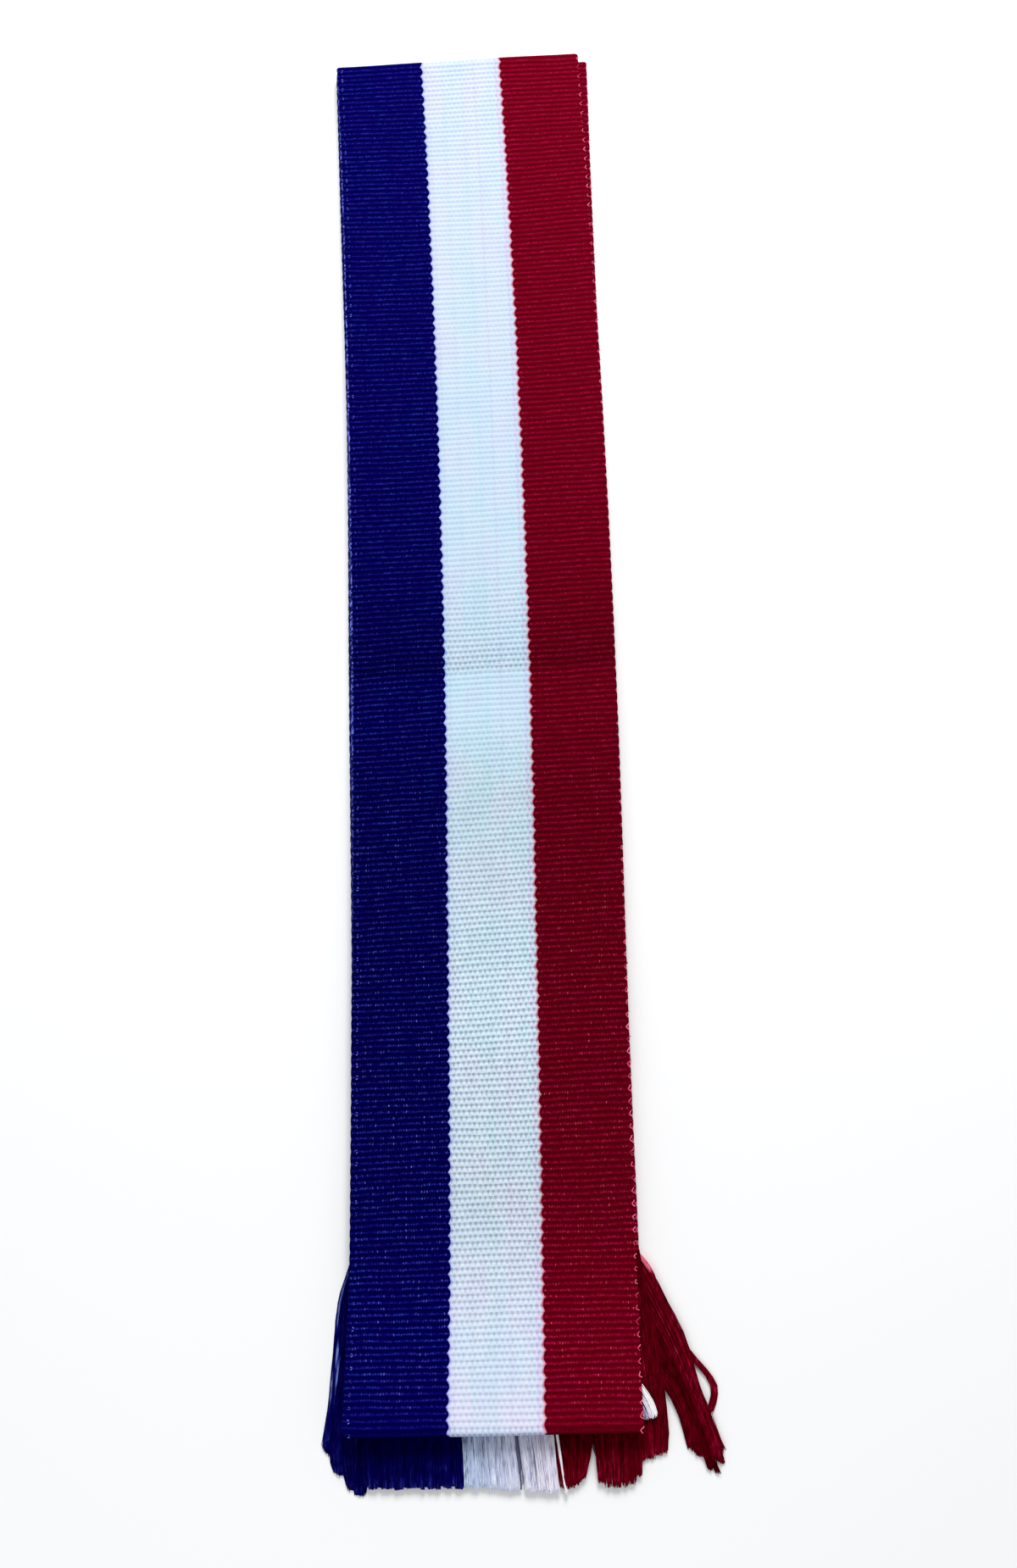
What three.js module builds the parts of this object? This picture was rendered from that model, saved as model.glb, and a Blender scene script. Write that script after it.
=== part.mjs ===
// A waist sash of ribbed cloth in three stripes, folded flat in four runs, with a warp fringe at both ends.
// Millimetres. X runs across the sash, Y along it towards the top folds, Z up from the surface it lies on.
// The origin is on the underside of the lowest run, in the middle of the folded length.
import * as THREE from 'three';

// Driving dimensions
const bandWidth = 100;
const clothThickness = 1.2;
const layerGap = 0.4;
const foldedLength = 532;
const bandEndAlong = -208;
const innerFoldSetback = 3.5;
const pieceGap = 0.3;

// Mesh fineness
const runStep = 14;
const foldSteps = 8;

// Colours and finishes
const clothBlue = 0x0a0754;
const yarnBlue = 0x0c0a5c;
const yarnWhite = 0xd9dded;
const yarnRed = 0x5f021c;
const clothRoughness = 0.75;
const yarnRoughness = 0.55;

// Worked out from the driving dimensions
const halfWidth = bandWidth / 2;
const halfThickness = clothThickness / 2;
const layerPitch = clothThickness + layerGap;
const foldedEnd = foldedLength / 2;

// How far each run's middle line lies to the right, in mm, at places along the sash. Run 1 is on top and run 4
// lies on the surface. Runs 1 and 2 share the bottom fold, 2 and 3 the inner top fold, 1 and 4 the outer one.
// The ends of runs 3 and 4 stop at bandEndAlong, so their last row only steers the line towards it.
const runShift = [
  { along: 266, run1: -4.1, run2: -1.8, run3: -1.8, run4: -4.1 },
  { along: 205, run1: -1.8, run2: -1.7, run3: -1.6, run4: -3.3 },
  { along: 105, run1: 0.0, run2: -0.4, run3: -0.4, run4: -1.6 },
  { along: 0, run1: 0.5, run2: 0.1, run3: 0.0, run4: -1.1 },
  { along: -100, run1: -0.1, run2: -0.3, run3: -0.3, run4: -0.6 },
  { along: -205, run1: -1.5, run2: -1.5, run3: -0.3, run4: -0.9 },
  { along: -266, run1: -2.6, run2: -2.6, run3: -0.3, run4: -0.9 },
];

// How far the ribs and folds rise towards the right, in mm over the band's width.
const ribRise = [
  { along: 266, rise: 2.6 },
  { along: 178, rise: 3.0 },
  { along: 40, rise: 4.0 },
  { along: -90, rise: 3.8 },
  { along: -190, rise: 0.8 },
  { along: -266, rise: -0.8 },
];

// How far each run is lifted off the run below it by the soft waves across the folded sash, in mm.
// Near the bottom fold the two upper runs ride on the fringe.
const runLift = [
  { along: 266, run1: 0.0, run2: 0.0, run3: 0.0 },
  { along: 205, run1: 0.2, run2: 0.1, run3: 0.0 },
  { along: 115, run1: 0.8, run2: 0.5, run3: 0.2 },
  { along: 40, run1: 0.8, run2: 0.5, run3: 0.2 },
  { along: 4, run1: 0.7, run2: 0.5, run3: 0.2 },
  { along: -30, run1: 0.8, run2: 0.5, run3: 0.2 },
  { along: -100, run1: 0.1, run2: 0.0, run3: 0.0 },
  { along: -133, run1: 0.5, run2: 0.3, run3: 0.1 },
  { along: -158, run1: 0.2, run2: 0.1, run3: 0.0 },
  { along: -180, run1: 0.5, run2: 0.3, run3: 0.1 },
  { along: -205, run1: 0.4, run2: 0.3, run3: 0.0 },
  { along: -240, run1: 0.8, run2: 0.7, run3: 0.0 },
  { along: -266, run1: 0.9, run2: 0.9, run3: 0.0 },
];

// The crease left across the middle of the sash by folding it once more, pressed down from above.
const middleCrease = { along: 4, depth: 0.5, reach: 13 };

// The part of the crease's depth that each run takes. Run 4 lies flat on the surface.
const creaseShare = { run1: 1, run2: 0.6, run3: 0.2, run4: 0 };

// Underside of each run where nothing lifts it.
const runLevel = { run1: 3 * layerPitch, run2: 2 * layerPitch, run3: layerPitch, run4: 0 };

// A smooth curve through one column of a table whose rows run from high to low values of the key.
function columnAt(rows, key, column, place) {
  const last = rows.length - 1;
  let low = rows.findIndex((row) => row[key] <= place);
  if (low < 0) low = last;
  low = Math.min(Math.max(low, 1), last);
  const high = low - 1;
  const slopeAt = (row) => {
    const before = rows[Math.max(row - 1, 0)];
    const after = rows[Math.min(row + 1, last)];
    return (after[column] - before[column]) / (after[key] - before[key]);
  };
  const span = rows[low][key] - rows[high][key];
  const t = THREE.MathUtils.clamp((place - rows[high][key]) / span, 0, 1);
  const start = (1 + 2 * t) * (1 - t) ** 2 * rows[high][column];
  const startSlope = t * (1 - t) ** 2 * span * slopeAt(high);
  const end = t * t * (3 - 2 * t) * rows[low][column];
  const endSlope = t * t * (t - 1) * span * slopeAt(low);
  return start + startSlope + end + endSlope;
}

function shiftOf(run, along) {
  return columnAt(runShift, 'along', run, along);
}

function riseAt(along) {
  return columnAt(ribRise, 'along', 'rise', along) / bandWidth;
}

// Height of the middle of a run's cloth over the surface that the sash lies on.
function heightOf(run, along) {
  const lift = run === 'run4' ? 0 : columnAt(runLift, 'along', run, along);
  const nearness = Math.exp(-Math.abs(along - middleCrease.along) / middleCrease.reach);
  return runLevel[run] + halfThickness + lift - creaseShare[run] * middleCrease.depth * nearness;
}

// A ring of points across the sash: places[i] is [across, along, up], and a rib's rise turns the ring with it.
function risenRing(shift, places) {
  return places.map(([across, along, up]) => {
    return new THREE.Vector3(shift + across, along + across * riseAt(along), up);
  });
}

// A closed body through rings of the same number of points, with flat ends.
function loft(rings) {
  const count = rings[0].length;
  const corners = rings.flat();
  const faces = [];
  for (let ring = 0; ring < rings.length - 1; ring += 1) {
    for (let side = 0; side < count; side += 1) {
      const next = (side + 1) % count;
      const here = ring * count;
      const there = here + count;
      faces.push([here + side, here + next, there + next]);
      faces.push([here + side, there + next, there + side]);
    }
  }
  const lastRing = (rings.length - 1) * count;
  for (let side = 1; side < count - 1; side += 1) {
    faces.push([0, side + 1, side]);
    faces.push([lastRing, lastRing + side, lastRing + side + 1]);
  }
  const spat = new THREE.Vector3();
  const volume = faces.reduce((sum, [a, b, c]) => {
    return sum + corners[a].dot(spat.crossVectors(corners[b], corners[c]));
  }, 0);
  const outward = volume > 0 ? faces : faces.map(([a, b, c]) => [a, c, b]);
  const geometry = new THREE.BufferGeometry().setFromPoints(corners);
  geometry.setIndex(outward.flat());
  geometry.computeVertexNormals();
  return geometry;
}

function textile(name, geometry, colour, roughness) {
  const material = new THREE.MeshStandardMaterial({ color: colour, roughness, metalness: 0 });
  const mesh = new THREE.Mesh(geometry, material);
  mesh.name = name;
  return mesh;
}

// Stations of the band's middle surface in its side view. Each has a place along and up, the direction of the
// cloth's face there, and the shift of the run that it belongs to.
function runStations(run, from, to) {
  const count = Math.ceil(Math.abs(to - from) / runStep);
  const facing = to > from ? 1 : -1;
  return Array.from({ length: count + 1 }, (_, index) => {
    const along = THREE.MathUtils.lerp(from, to, index / count);
    return { along, up: heightOf(run, along), faceAlong: 0, faceUp: facing, shift: shiftOf(run, along) };
  });
}

// Half a turn of the cloth from one run to another about a centre line. outward is 1 where the face that leads
// is on the outside of the fold, and -1 where it is inside. end is 1 at the top of the sash, -1 at the bottom.
function foldStations(fromRun, toRun, centre, end, outward) {
  const start = heightOf(fromRun, centre);
  const finish = heightOf(toRun, centre);
  const radius = Math.abs(finish - start) / 2;
  const middle = (start + finish) / 2;
  const turn = Math.sign(start - middle);
  return Array.from({ length: foldSteps - 1 }, (_, index) => {
    const angle = ((index + 1) / foldSteps) * Math.PI;
    const faceAlong = end * Math.sin(angle);
    const faceUp = turn * Math.cos(angle);
    const share = (index + 1) / foldSteps;
    const shift = THREE.MathUtils.lerp(shiftOf(fromRun, centre), shiftOf(toRun, centre), share);
    return {
      along: centre + radius * faceAlong,
      up: middle + radius * faceUp,
      faceAlong: outward * faceAlong,
      faceUp: outward * faceUp,
      shift,
    };
  });
}

// The band in one sweep: run 3 from its cut end, the inner top fold, run 2, the bottom fold, run 1, the outer
// top fold, and run 4 to its cut end.
function bandStations() {
  const outerRadius = (heightOf('run1', foldedEnd) - heightOf('run4', foldedEnd)) / 2;
  const outerCentre = foldedEnd - halfThickness - outerRadius;
  const innerRadius = layerPitch / 2;
  const innerCentre = foldedEnd - innerFoldSetback - halfThickness - innerRadius;
  const bottomCentre = -foldedEnd + halfThickness + innerRadius;
  return [
    ...runStations('run3', bandEndAlong, innerCentre),
    ...foldStations('run3', 'run2', innerCentre, 1, -1),
    ...runStations('run2', innerCentre, bottomCentre),
    ...foldStations('run2', 'run1', bottomCentre, -1, 1),
    ...runStations('run1', bottomCentre, outerCentre),
    ...foldStations('run1', 'run4', outerCentre, 1, 1),
    ...runStations('run4', outerCentre, bandEndAlong),
  ];
}

function wovenBand() {
  const rings = bandStations().map(({ along, up, faceAlong, faceUp, shift }) => {
    const outer = [along + halfThickness * faceAlong, up + halfThickness * faceUp];
    const inner = [along - halfThickness * faceAlong, up - halfThickness * faceUp];
    return risenRing(shift, [
      [-halfWidth, ...outer],
      [halfWidth, ...outer],
      [halfWidth, ...inner],
      [-halfWidth, ...inner],
    ]);
  });
  return textile('woven_band', loft(rings), clothBlue, clothRoughness);
}

// The outer form of each clump of the fringe. down is measured from the band's cut end, left and right are
// across the sash, and base and top are heights over the surface that the sash lies on.
const upperFringe = [
  {
    name: 'upper_fringe_blue',
    colour: yarnBlue,
    sections: [
      { down: 0, left: -50.1, right: -16.7, base: 1.6, top: 2.8 },
      { down: 35, left: -49.4, right: -15.0, base: 1.4, top: 2.9 },
      { down: 60, left: -48.4, right: -13.4, base: 1.3, top: 2.6 },
      { down: 74, left: -46.9, right: -13.4, base: 1.3, top: 2.0 },
    ],
  },
  {
    name: 'upper_fringe_white',
    colour: yarnWhite,
    sections: [
      { down: 0, left: -16.3, right: 16.1, base: 1.6, top: 2.8 },
      { down: 35, left: -14.6, right: 17.2, base: 1.4, top: 2.8 },
      { down: 60, left: -13.0, right: 18.8, base: 1.3, top: 2.6 },
      { down: 76, left: -12.9, right: 20.0, base: 1.3, top: 2.0 },
    ],
  },
  {
    name: 'upper_fringe_red_inner',
    colour: yarnRed,
    sections: [
      { down: 0, left: 16.5, right: 29.3, base: 1.6, top: 2.7 },
      { down: 35, left: 17.6, right: 31.2, base: 1.4, top: 2.6 },
      { down: 60, left: 19.2, right: 31.2, base: 1.3, top: 2.5 },
      { down: 75, left: 20.6, right: 26.7, base: 1.3, top: 2.0 },
    ],
  },
  {
    name: 'upper_fringe_red_middle',
    colour: yarnRed,
    sections: [
      { down: 0, left: 29.7, right: 39.3, base: 1.6, top: 2.7 },
      { down: 35, left: 31.7, right: 43.4, base: 1.4, top: 2.5 },
      { down: 60, left: 31.8, right: 45.9, base: 1.3, top: 2.4 },
      { down: 76, left: 32.4, right: 44.5, base: 1.3, top: 2.0 },
    ],
  },
  {
    name: 'upper_fringe_red_outer',
    colour: yarnRed,
    sections: [
      { down: 0, left: 39.7, right: 49.5, base: 1.6, top: 2.7 },
      { down: 30, left: 43.3, right: 55.4, base: 1.4, top: 2.5 },
      { down: 48, left: 45.6, right: 56.9, base: 1.4, top: 2.4 },
      { down: 60, left: 46.3, right: 57.2, base: 0.5, top: 1.9 },
      { down: 67, left: 47.0, right: 56.0, base: 0.2, top: 1.2 },
    ],
  },
  {
    name: 'white_stray_tuft',
    colour: yarnWhite,
    sections: [
      { down: 6, left: 8.0, right: 13.0, base: 3.1, top: 3.3 },
      { down: 24, left: 23.0, right: 29.5, base: 3.0, top: 3.4 },
      { down: 42, left: 39.5, right: 47.8, base: 2.8, top: 3.5 },
      { down: 49, left: 45.5, right: 52.2, base: 2.7, top: 3.5 },
      { down: 55, left: 49.2, right: 53.0, base: 2.7, top: 3.3 },
    ],
  },
];

const lowerFringe = [
  {
    name: 'lower_fringe_blue_outer',
    colour: yarnBlue,
    sections: [
      { down: 0, left: -50.7, right: -44.3, base: 0, top: 1.1 },
      { down: 9, left: -56.0, right: -47.0, base: 0, top: 1.1 },
      { down: 26, left: -57.7, right: -50.6, base: 0, top: 1.1 },
      { down: 42, left: -58.7, right: -54.2, base: 0, top: 1.1 },
      { down: 57, left: -61.0, right: -57.7, base: 0, top: 1.0 },
      { down: 63, left: -61.7, right: -59.3, base: 0, top: 0.8 },
    ],
  },
  {
    name: 'lower_fringe_blue_side',
    colour: yarnBlue,
    sections: [
      { down: 0, left: -43.9, right: -36.0, base: 0, top: 1.1 },
      { down: 26, left: -50.1, right: -41.0, base: 0, top: 1.0 },
      { down: 50, left: -55.2, right: -45.5, base: 0, top: 1.0 },
      { down: 64, left: -58.2, right: -47.0, base: 0, top: 1.0 },
      { down: 74, left: -55.6, right: -47.4, base: 0, top: 0.9 },
      { down: 77, left: -52.5, right: -48.6, base: 0, top: 0.7 },
    ],
  },
  {
    name: 'lower_fringe_blue_inner',
    colour: yarnBlue,
    sections: [
      { down: 0, left: -35.6, right: -17.3, base: 0, top: 1.1 },
      { down: 35, left: -42.0, right: -16.0, base: 0, top: 1.0 },
      { down: 70, left: -46.6, right: -14.5, base: 0, top: 0.8 },
    ],
  },
  {
    name: 'lower_fringe_white',
    colour: yarnWhite,
    sections: [
      { down: 0, left: -16.9, right: 15.2, base: 0, top: 1.1 },
      { down: 35, left: -15.6, right: 18.0, base: 0, top: 1.0 },
      { down: 70, left: -14.0, right: 25.0, base: 0, top: 0.8 },
    ],
  },
  {
    name: 'lower_fringe_red_inner',
    colour: yarnRed,
    sections: [
      { down: 0, left: 15.6, right: 29.5, base: 0, top: 1.1 },
      { down: 35, left: 20.5, right: 38.0, base: 0, top: 1.0 },
      { down: 68, left: 33.2, right: 43.5, base: 0, top: 0.8 },
    ],
  },
  {
    name: 'lower_fringe_red_tassel',
    colour: yarnRed,
    sections: [
      { down: 0, left: 29.9, right: 48.7, base: 0, top: 1.1 },
      { down: 12, left: 34.0, right: 55.8, base: 0, top: 1.1 },
      { down: 29, left: 43.5, right: 64.1, base: 0, top: 1.1 },
      { down: 46, left: 55.8, right: 67.1, base: 0, top: 1.1 },
      { down: 59, left: 61.9, right: 71.0, base: 0, top: 1.1 },
      { down: 66, left: 64.0, right: 75.8, base: 0, top: 1.0 },
      { down: 71, left: 68.5, right: 72.0, base: 0, top: 0.7 },
    ],
  },
  {
    name: 'lower_fringe_red_curl',
    colour: yarnRed,
    sections: [
      { down: 31, left: 65.4, right: 67.2, base: 0, top: 0.9 },
      { down: 38, left: 68.3, right: 71.3, base: 0, top: 1.1 },
      { down: 44, left: 72.0, right: 74.8, base: 0, top: 1.1 },
      { down: 48, left: 72.4, right: 75.3, base: 0, top: 1.1 },
      { down: 53, left: 69.7, right: 72.8, base: 0, top: 0.9 },
    ],
  },
];

// Section of a clump as shares of its width and height: a flat bundle with rounded sides.
const clumpSection = [
  { across: 0, up: 0.5 },
  { across: 0.08, up: 1 },
  { across: 0.92, up: 1 },
  { across: 1, up: 0.5 },
  { across: 0.92, up: 0 },
  { across: 0.08, up: 0 },
];

function fringeClump({ name, colour, sections }) {
  const rings = sections.map(({ down, left, right, base, top }) => {
    const along = bandEndAlong - pieceGap - down;
    return risenRing(0, clumpSection.map(({ across, up }) => {
      return [THREE.MathUtils.lerp(left, right, across), along, THREE.MathUtils.lerp(base, top, up)];
    }));
  });
  return textile(name, loft(rings), colour, yarnRoughness);
}

const sash = new THREE.Group();
sash.add(wovenBand());
upperFringe.forEach((clump) => sash.add(fringeClump(clump)));
lowerFringe.forEach((clump) => sash.add(fringeClump(clump)));

export default sash;
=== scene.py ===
# %% [markdown]
# A waist sash, folded flat
#
# The real thing is one long band of ribbed cloth in three stripes, woven with a thick weft so that it has a
# rib every two millimetres. Both ends are left unwoven as a fringe. It lies folded in four runs, seen from
# above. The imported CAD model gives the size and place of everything. This script adds what the eye sees:
# the ribs, the weave, the threads along the edges and the loose yarn of the fringe.

# %% Load the frame
import math

import bpy
import numpy as np
from mathutils import Matrix, Vector


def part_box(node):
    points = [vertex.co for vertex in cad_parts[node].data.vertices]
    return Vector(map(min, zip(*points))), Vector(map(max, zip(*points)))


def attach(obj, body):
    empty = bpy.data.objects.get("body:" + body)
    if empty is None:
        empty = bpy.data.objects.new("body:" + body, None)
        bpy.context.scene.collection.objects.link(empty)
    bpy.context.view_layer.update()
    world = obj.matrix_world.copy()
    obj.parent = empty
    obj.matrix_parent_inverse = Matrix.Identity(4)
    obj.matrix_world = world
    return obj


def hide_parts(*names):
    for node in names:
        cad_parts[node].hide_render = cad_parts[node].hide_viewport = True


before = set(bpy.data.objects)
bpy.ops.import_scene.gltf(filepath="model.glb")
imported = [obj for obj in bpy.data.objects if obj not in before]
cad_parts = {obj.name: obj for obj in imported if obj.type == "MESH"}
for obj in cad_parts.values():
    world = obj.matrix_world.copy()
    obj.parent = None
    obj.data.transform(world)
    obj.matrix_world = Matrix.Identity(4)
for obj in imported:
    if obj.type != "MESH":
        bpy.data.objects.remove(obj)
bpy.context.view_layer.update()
MM = 0.001

# %% [markdown]
# Every colour below is written as the sRGB hex value that a colour picker shows. Blender computes with
# linear light, so one function does the conversion. A second function adds a node with its settings and its
# links, which keeps a material readable: one call is one node.


# %% Helpers for colours and nodes
def linear(hex_colour):
    """The linear RGBA of an sRGB colour such as "c4d6e8"."""
    parts = [int(hex_colour[i:i + 2], 16) / 255 for i in (0, 2, 4)]
    return (*[c / 12.92 if c <= 0.04045 else ((c + 0.055) / 1.055) ** 2.4 for c in parts], 1.0)


def add(tree, kind, inputs=(), stops=(), keeps=(), **settings):
    """Adds a node and gives its first output in use. Settings are its own fields. Inputs are values or
    outputs, in order or by the socket's name or number. A Color Ramp has stops, each a place and a grey level
    or a hex colour. Capture Attribute keeps the inputs that are named."""
    node = tree.nodes.new(kind)
    for field, value in settings.items():
        setattr(node, field, value)
    for name in keeps:
        node.capture_items.new("VECTOR" if inputs[name].type == "VECTOR" else "FLOAT", name)
    for socket, value in (inputs if isinstance(inputs, dict) else dict(enumerate(inputs))).items():
        if isinstance(value, bpy.types.NodeSocket):
            tree.links.new(value, node.inputs[socket])
        else:
            node.inputs[socket].default_value = value
    for _ in stops[2:]:
        node.color_ramp.elements.new(0.5)
    for number, (place, level) in enumerate(stops):
        point = node.color_ramp.elements[number]
        point.position = place
        point.color = linear(level) if isinstance(level, str) else (level, level, level, 1.0)
    return next((output for output in node.outputs if output.enabled), None)


def product(tree, first, *others):
    """Three or more values multiplied with each other, as a chain of nodes."""
    result = first
    for value in others:
        result = add(tree, "ShaderNodeMath", [result, value], operation="MULTIPLY")
    return result


def new_material(name, roughness, specular):
    """A material with its Principled shader, ready for a colour and a bump."""
    material = bpy.data.materials.new(name)
    material.use_nodes = True
    shader = material.node_tree.nodes["Principled BSDF"]
    shader.inputs["Roughness"].default_value = roughness
    shader.inputs["Specular IOR Level"].default_value = specular
    return material, material.node_tree, shader


def put_in_scene(name, data):
    """A new object that holds a mesh, a curve, a lamp or a camera."""
    thing = bpy.data.objects.new(name, data)
    bpy.context.scene.collection.objects.link(thing)
    return thing


def triangle_count(mesh):
    """How many triangles a mesh makes."""
    return sum(len(face.vertices) - 2 for face in mesh.polygons)


print("a mid grey of 808080 is", round(linear("808080")[0], 3), "in linear light")

# %% [markdown]
# The sizes
#
# These are the driving sizes of the real sash, in millimetres, the same as in the CAD model. The tables
# have one row for each place along the folded sash. They say how each run wanders sideways, how much wider
# to each side the pressed cloth of run 1 gets towards the bottom fold, how far the ribs rise to the right
# and how deep the furrows between them are, and how far each run is lifted by soft waves. Run 1 is on top
# and run 4 lies on the surface. The soft top folds bulge out a little past the pressed length, and each
# fold is a little narrower than the cloth.

# %% Driving sizes and tables
BAND_WIDTH = 100.0
CLOTH_THICKNESS = 1.2
LAYER_GAP = 0.4
FOLDED_LENGTH = 532.0
BAND_END = -208.0
INNER_FOLD_SETBACK = 3.5
TOP_BULGE = 2.1
FOLD_PINCH = 0.6

HALF_WIDTH = BAND_WIDTH / 2
HALF_THICKNESS = CLOTH_THICKNESS / 2
LAYER_PITCH = CLOTH_THICKNESS + LAYER_GAP
FOLDED_END = FOLDED_LENGTH / 2

RUN_SHIFT = [
    dict(along=266, run1=-3.8, run2=-0.3, run3=-0.3, run4=-4.4),
    dict(along=205, run1=-1.9, run2=-0.6, run3=-0.6, run4=-3.2),
    dict(along=105, run1=0.0, run2=-0.4, run3=-0.4, run4=-1.1),
    dict(along=0, run1=0.6, run2=0.1, run3=0.0, run4=-1.0),
    dict(along=-100, run1=-0.2, run2=-0.3, run3=-0.3, run4=-0.7),
    dict(along=-205, run1=-1.6, run2=-1.5, run3=-0.3, run4=-0.9),
    dict(along=-266, run1=-3.2, run2=-2.7, run3=-0.3, run4=-0.9),
]
RUN_SPREAD = [
    dict(along=266, spread=0.0),
    dict(along=-203, spread=0.0),
    dict(along=-224, spread=0.4),
    dict(along=-243, spread=0.9),
    dict(along=-266, spread=1.5),
]
RIB_RISE = [
    dict(along=268, rise=3.5, bow=0.0, depth=0.2),
    dict(along=235, rise=3.0, bow=0.3, depth=0.18),
    dict(along=178, rise=3.0, bow=1.4, depth=0.15),
    dict(along=40, rise=4.0, bow=0.0, depth=0.15),
    dict(along=10, rise=4.0, bow=0.0, depth=0.22),
    dict(along=-20, rise=4.0, bow=0.0, depth=0.15),
    dict(along=-90, rise=3.8, bow=0.0, depth=0.24),
    dict(along=-190, rise=0.8, bow=0.0, depth=0.24),
    dict(along=-266, rise=-0.8, bow=0.0, depth=0.21),
]
RUN_LIFT = [
    dict(along=266, run1=0.0, run2=0.0, run3=0.0, run4=0.0),
    dict(along=205, run1=0.2, run2=0.1, run3=0.0, run4=0.0),
    dict(along=115, run1=0.8, run2=0.5, run3=0.2, run4=0.0),
    dict(along=40, run1=0.8, run2=0.5, run3=0.2, run4=0.0),
    dict(along=4, run1=0.7, run2=0.5, run3=0.2, run4=0.0),
    dict(along=-30, run1=0.8, run2=0.5, run3=0.2, run4=0.0),
    dict(along=-100, run1=0.1, run2=0.0, run3=0.0, run4=0.0),
    dict(along=-133, run1=0.5, run2=0.3, run3=0.1, run4=0.0),
    dict(along=-158, run1=0.2, run2=0.1, run3=0.0, run4=0.0),
    dict(along=-180, run1=0.5, run2=0.3, run3=0.1, run4=0.0),
    dict(along=-205, run1=0.4, run2=0.3, run3=0.0, run4=0.0),
    dict(along=-240, run1=1.1, run2=0.7, run3=0.0, run4=0.0),
    dict(along=-266, run1=2.5, run2=0.6, run3=0.0, run4=0.0),
]
CREASE_ALONG = 4.0
CREASE_DEPTH = 0.75
CREASE_REACH = 13.0
CREASE_SHARE = dict(run1=1.0, run2=0.6, run3=0.2, run4=0.0)
RUN_LEVEL = dict(run1=3 * LAYER_PITCH, run2=2 * LAYER_PITCH, run3=LAYER_PITCH, run4=0.0)
print("folded", FOLDED_LENGTH, "mm long, with a layer every", round(LAYER_PITCH, 2), "mm")

# %% [markdown]
# Between its rows a table is read on a smooth curve. Straight pieces would show as kinks along the edges of
# the cloth, where soft cloth has none. A crease is added to the height as a sharp dip that fades away.


# %% A smooth curve through a table's column
def column_at(rows, column, places):
    """Values of a column at places along the sash, on a smooth curve through the rows."""
    rows = sorted(rows, key=lambda row: row["along"])
    keys = np.array([row["along"] for row in rows], float)
    values = np.array([row[column] for row in rows], float)
    before = np.maximum(np.arange(len(rows)) - 1, 0)
    after = np.minimum(np.arange(len(rows)) + 1, len(rows) - 1)
    slopes = (values[after] - values[before]) / (keys[after] - keys[before])
    low = np.clip(np.searchsorted(keys, places) - 1, 0, len(rows) - 2)
    span = keys[low + 1] - keys[low]
    t = np.clip((places - keys[low]) / span, 0, 1)
    start = (1 + 2 * t) * (1 - t) ** 2 * values[low] + t * (1 - t) ** 2 * span * slopes[low]
    return start + t * t * (3 - 2 * t) * values[low + 1] + t * t * (t - 1) * span * slopes[low + 1]


def run_height(run, along):
    """Height of the middle of a run's cloth over the surface, in mm."""
    along = np.asarray(along, float)
    nearness = np.exp(-np.abs(along - CREASE_ALONG) / CREASE_REACH)
    lift = column_at(RUN_LIFT, run, along) - CREASE_SHARE[run] * CREASE_DEPTH * nearness
    return RUN_LEVEL[run] + HALF_THICKNESS + lift


print("run 1 is", round(float(run_height("run1", 0.0)), 2), "mm up in the middle")

# %% [markdown]
# The folded path
#
# Seen from the side, the sash is one long line: up run 3 from its cut end, round the inner top fold, down
# run 2, round the bottom fold, up run 1, round the outer top fold and down run 4. A folded ribbon could
# also be made with cloth simulation, but flat folds under their own weight are simple arcs, and a path
# keeps the ribs evenly spaced. The path is drawn finely, measured along its length, and each rib is then
# placed by that length.

# %% The path from the side
PATH_STEP = 0.25


def run_path(run, start, stop):
    """Rows of along, up, face along, face up, shift, whether this is the top run, and its spread."""
    along = np.linspace(start, stop, int(abs(stop - start) / PATH_STEP) + 1)
    facing = np.full_like(along, 1.0 if stop > start else -1.0)
    on_top = np.full_like(along, float(run == "run1"))
    shift = column_at(RUN_SHIFT, run, along)
    spread = on_top * column_at(RUN_SPREAD, "spread", along)
    return np.stack([along, run_height(run, along), 0 * along, facing, shift, on_top, spread], 1)


def fold_path(from_run, to_run, centre, end, outward):
    """Half a turn from one run to the next. end is 1 at the top of the sash and -1 at the bottom."""
    start, stop = float(run_height(from_run, centre)), float(run_height(to_run, centre))
    radius, middle = abs(stop - start) / 2, (start + stop) / 2
    angle = np.linspace(0, math.pi, int(math.pi * radius / PATH_STEP) + 4)[1:-1]
    face_along = end * np.sin(angle)
    face_up = np.sign(start - middle) * np.cos(angle)
    share = angle / math.pi
    first, last = (float(column_at(RUN_SHIFT, run, centre)) for run in (from_run, to_run))
    shift = first + (last - first) * share
    on_top = np.ones_like(angle) * float("run1" in (from_run, to_run))
    nearness = share if to_run == "run1" else 1 - share
    spread = on_top * float(column_at(RUN_SPREAD, "spread", centre)) * nearness
    return np.stack([centre + radius * face_along, middle + radius * face_up,
                     outward * face_along, outward * face_up, shift, on_top, spread], 1)


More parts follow.
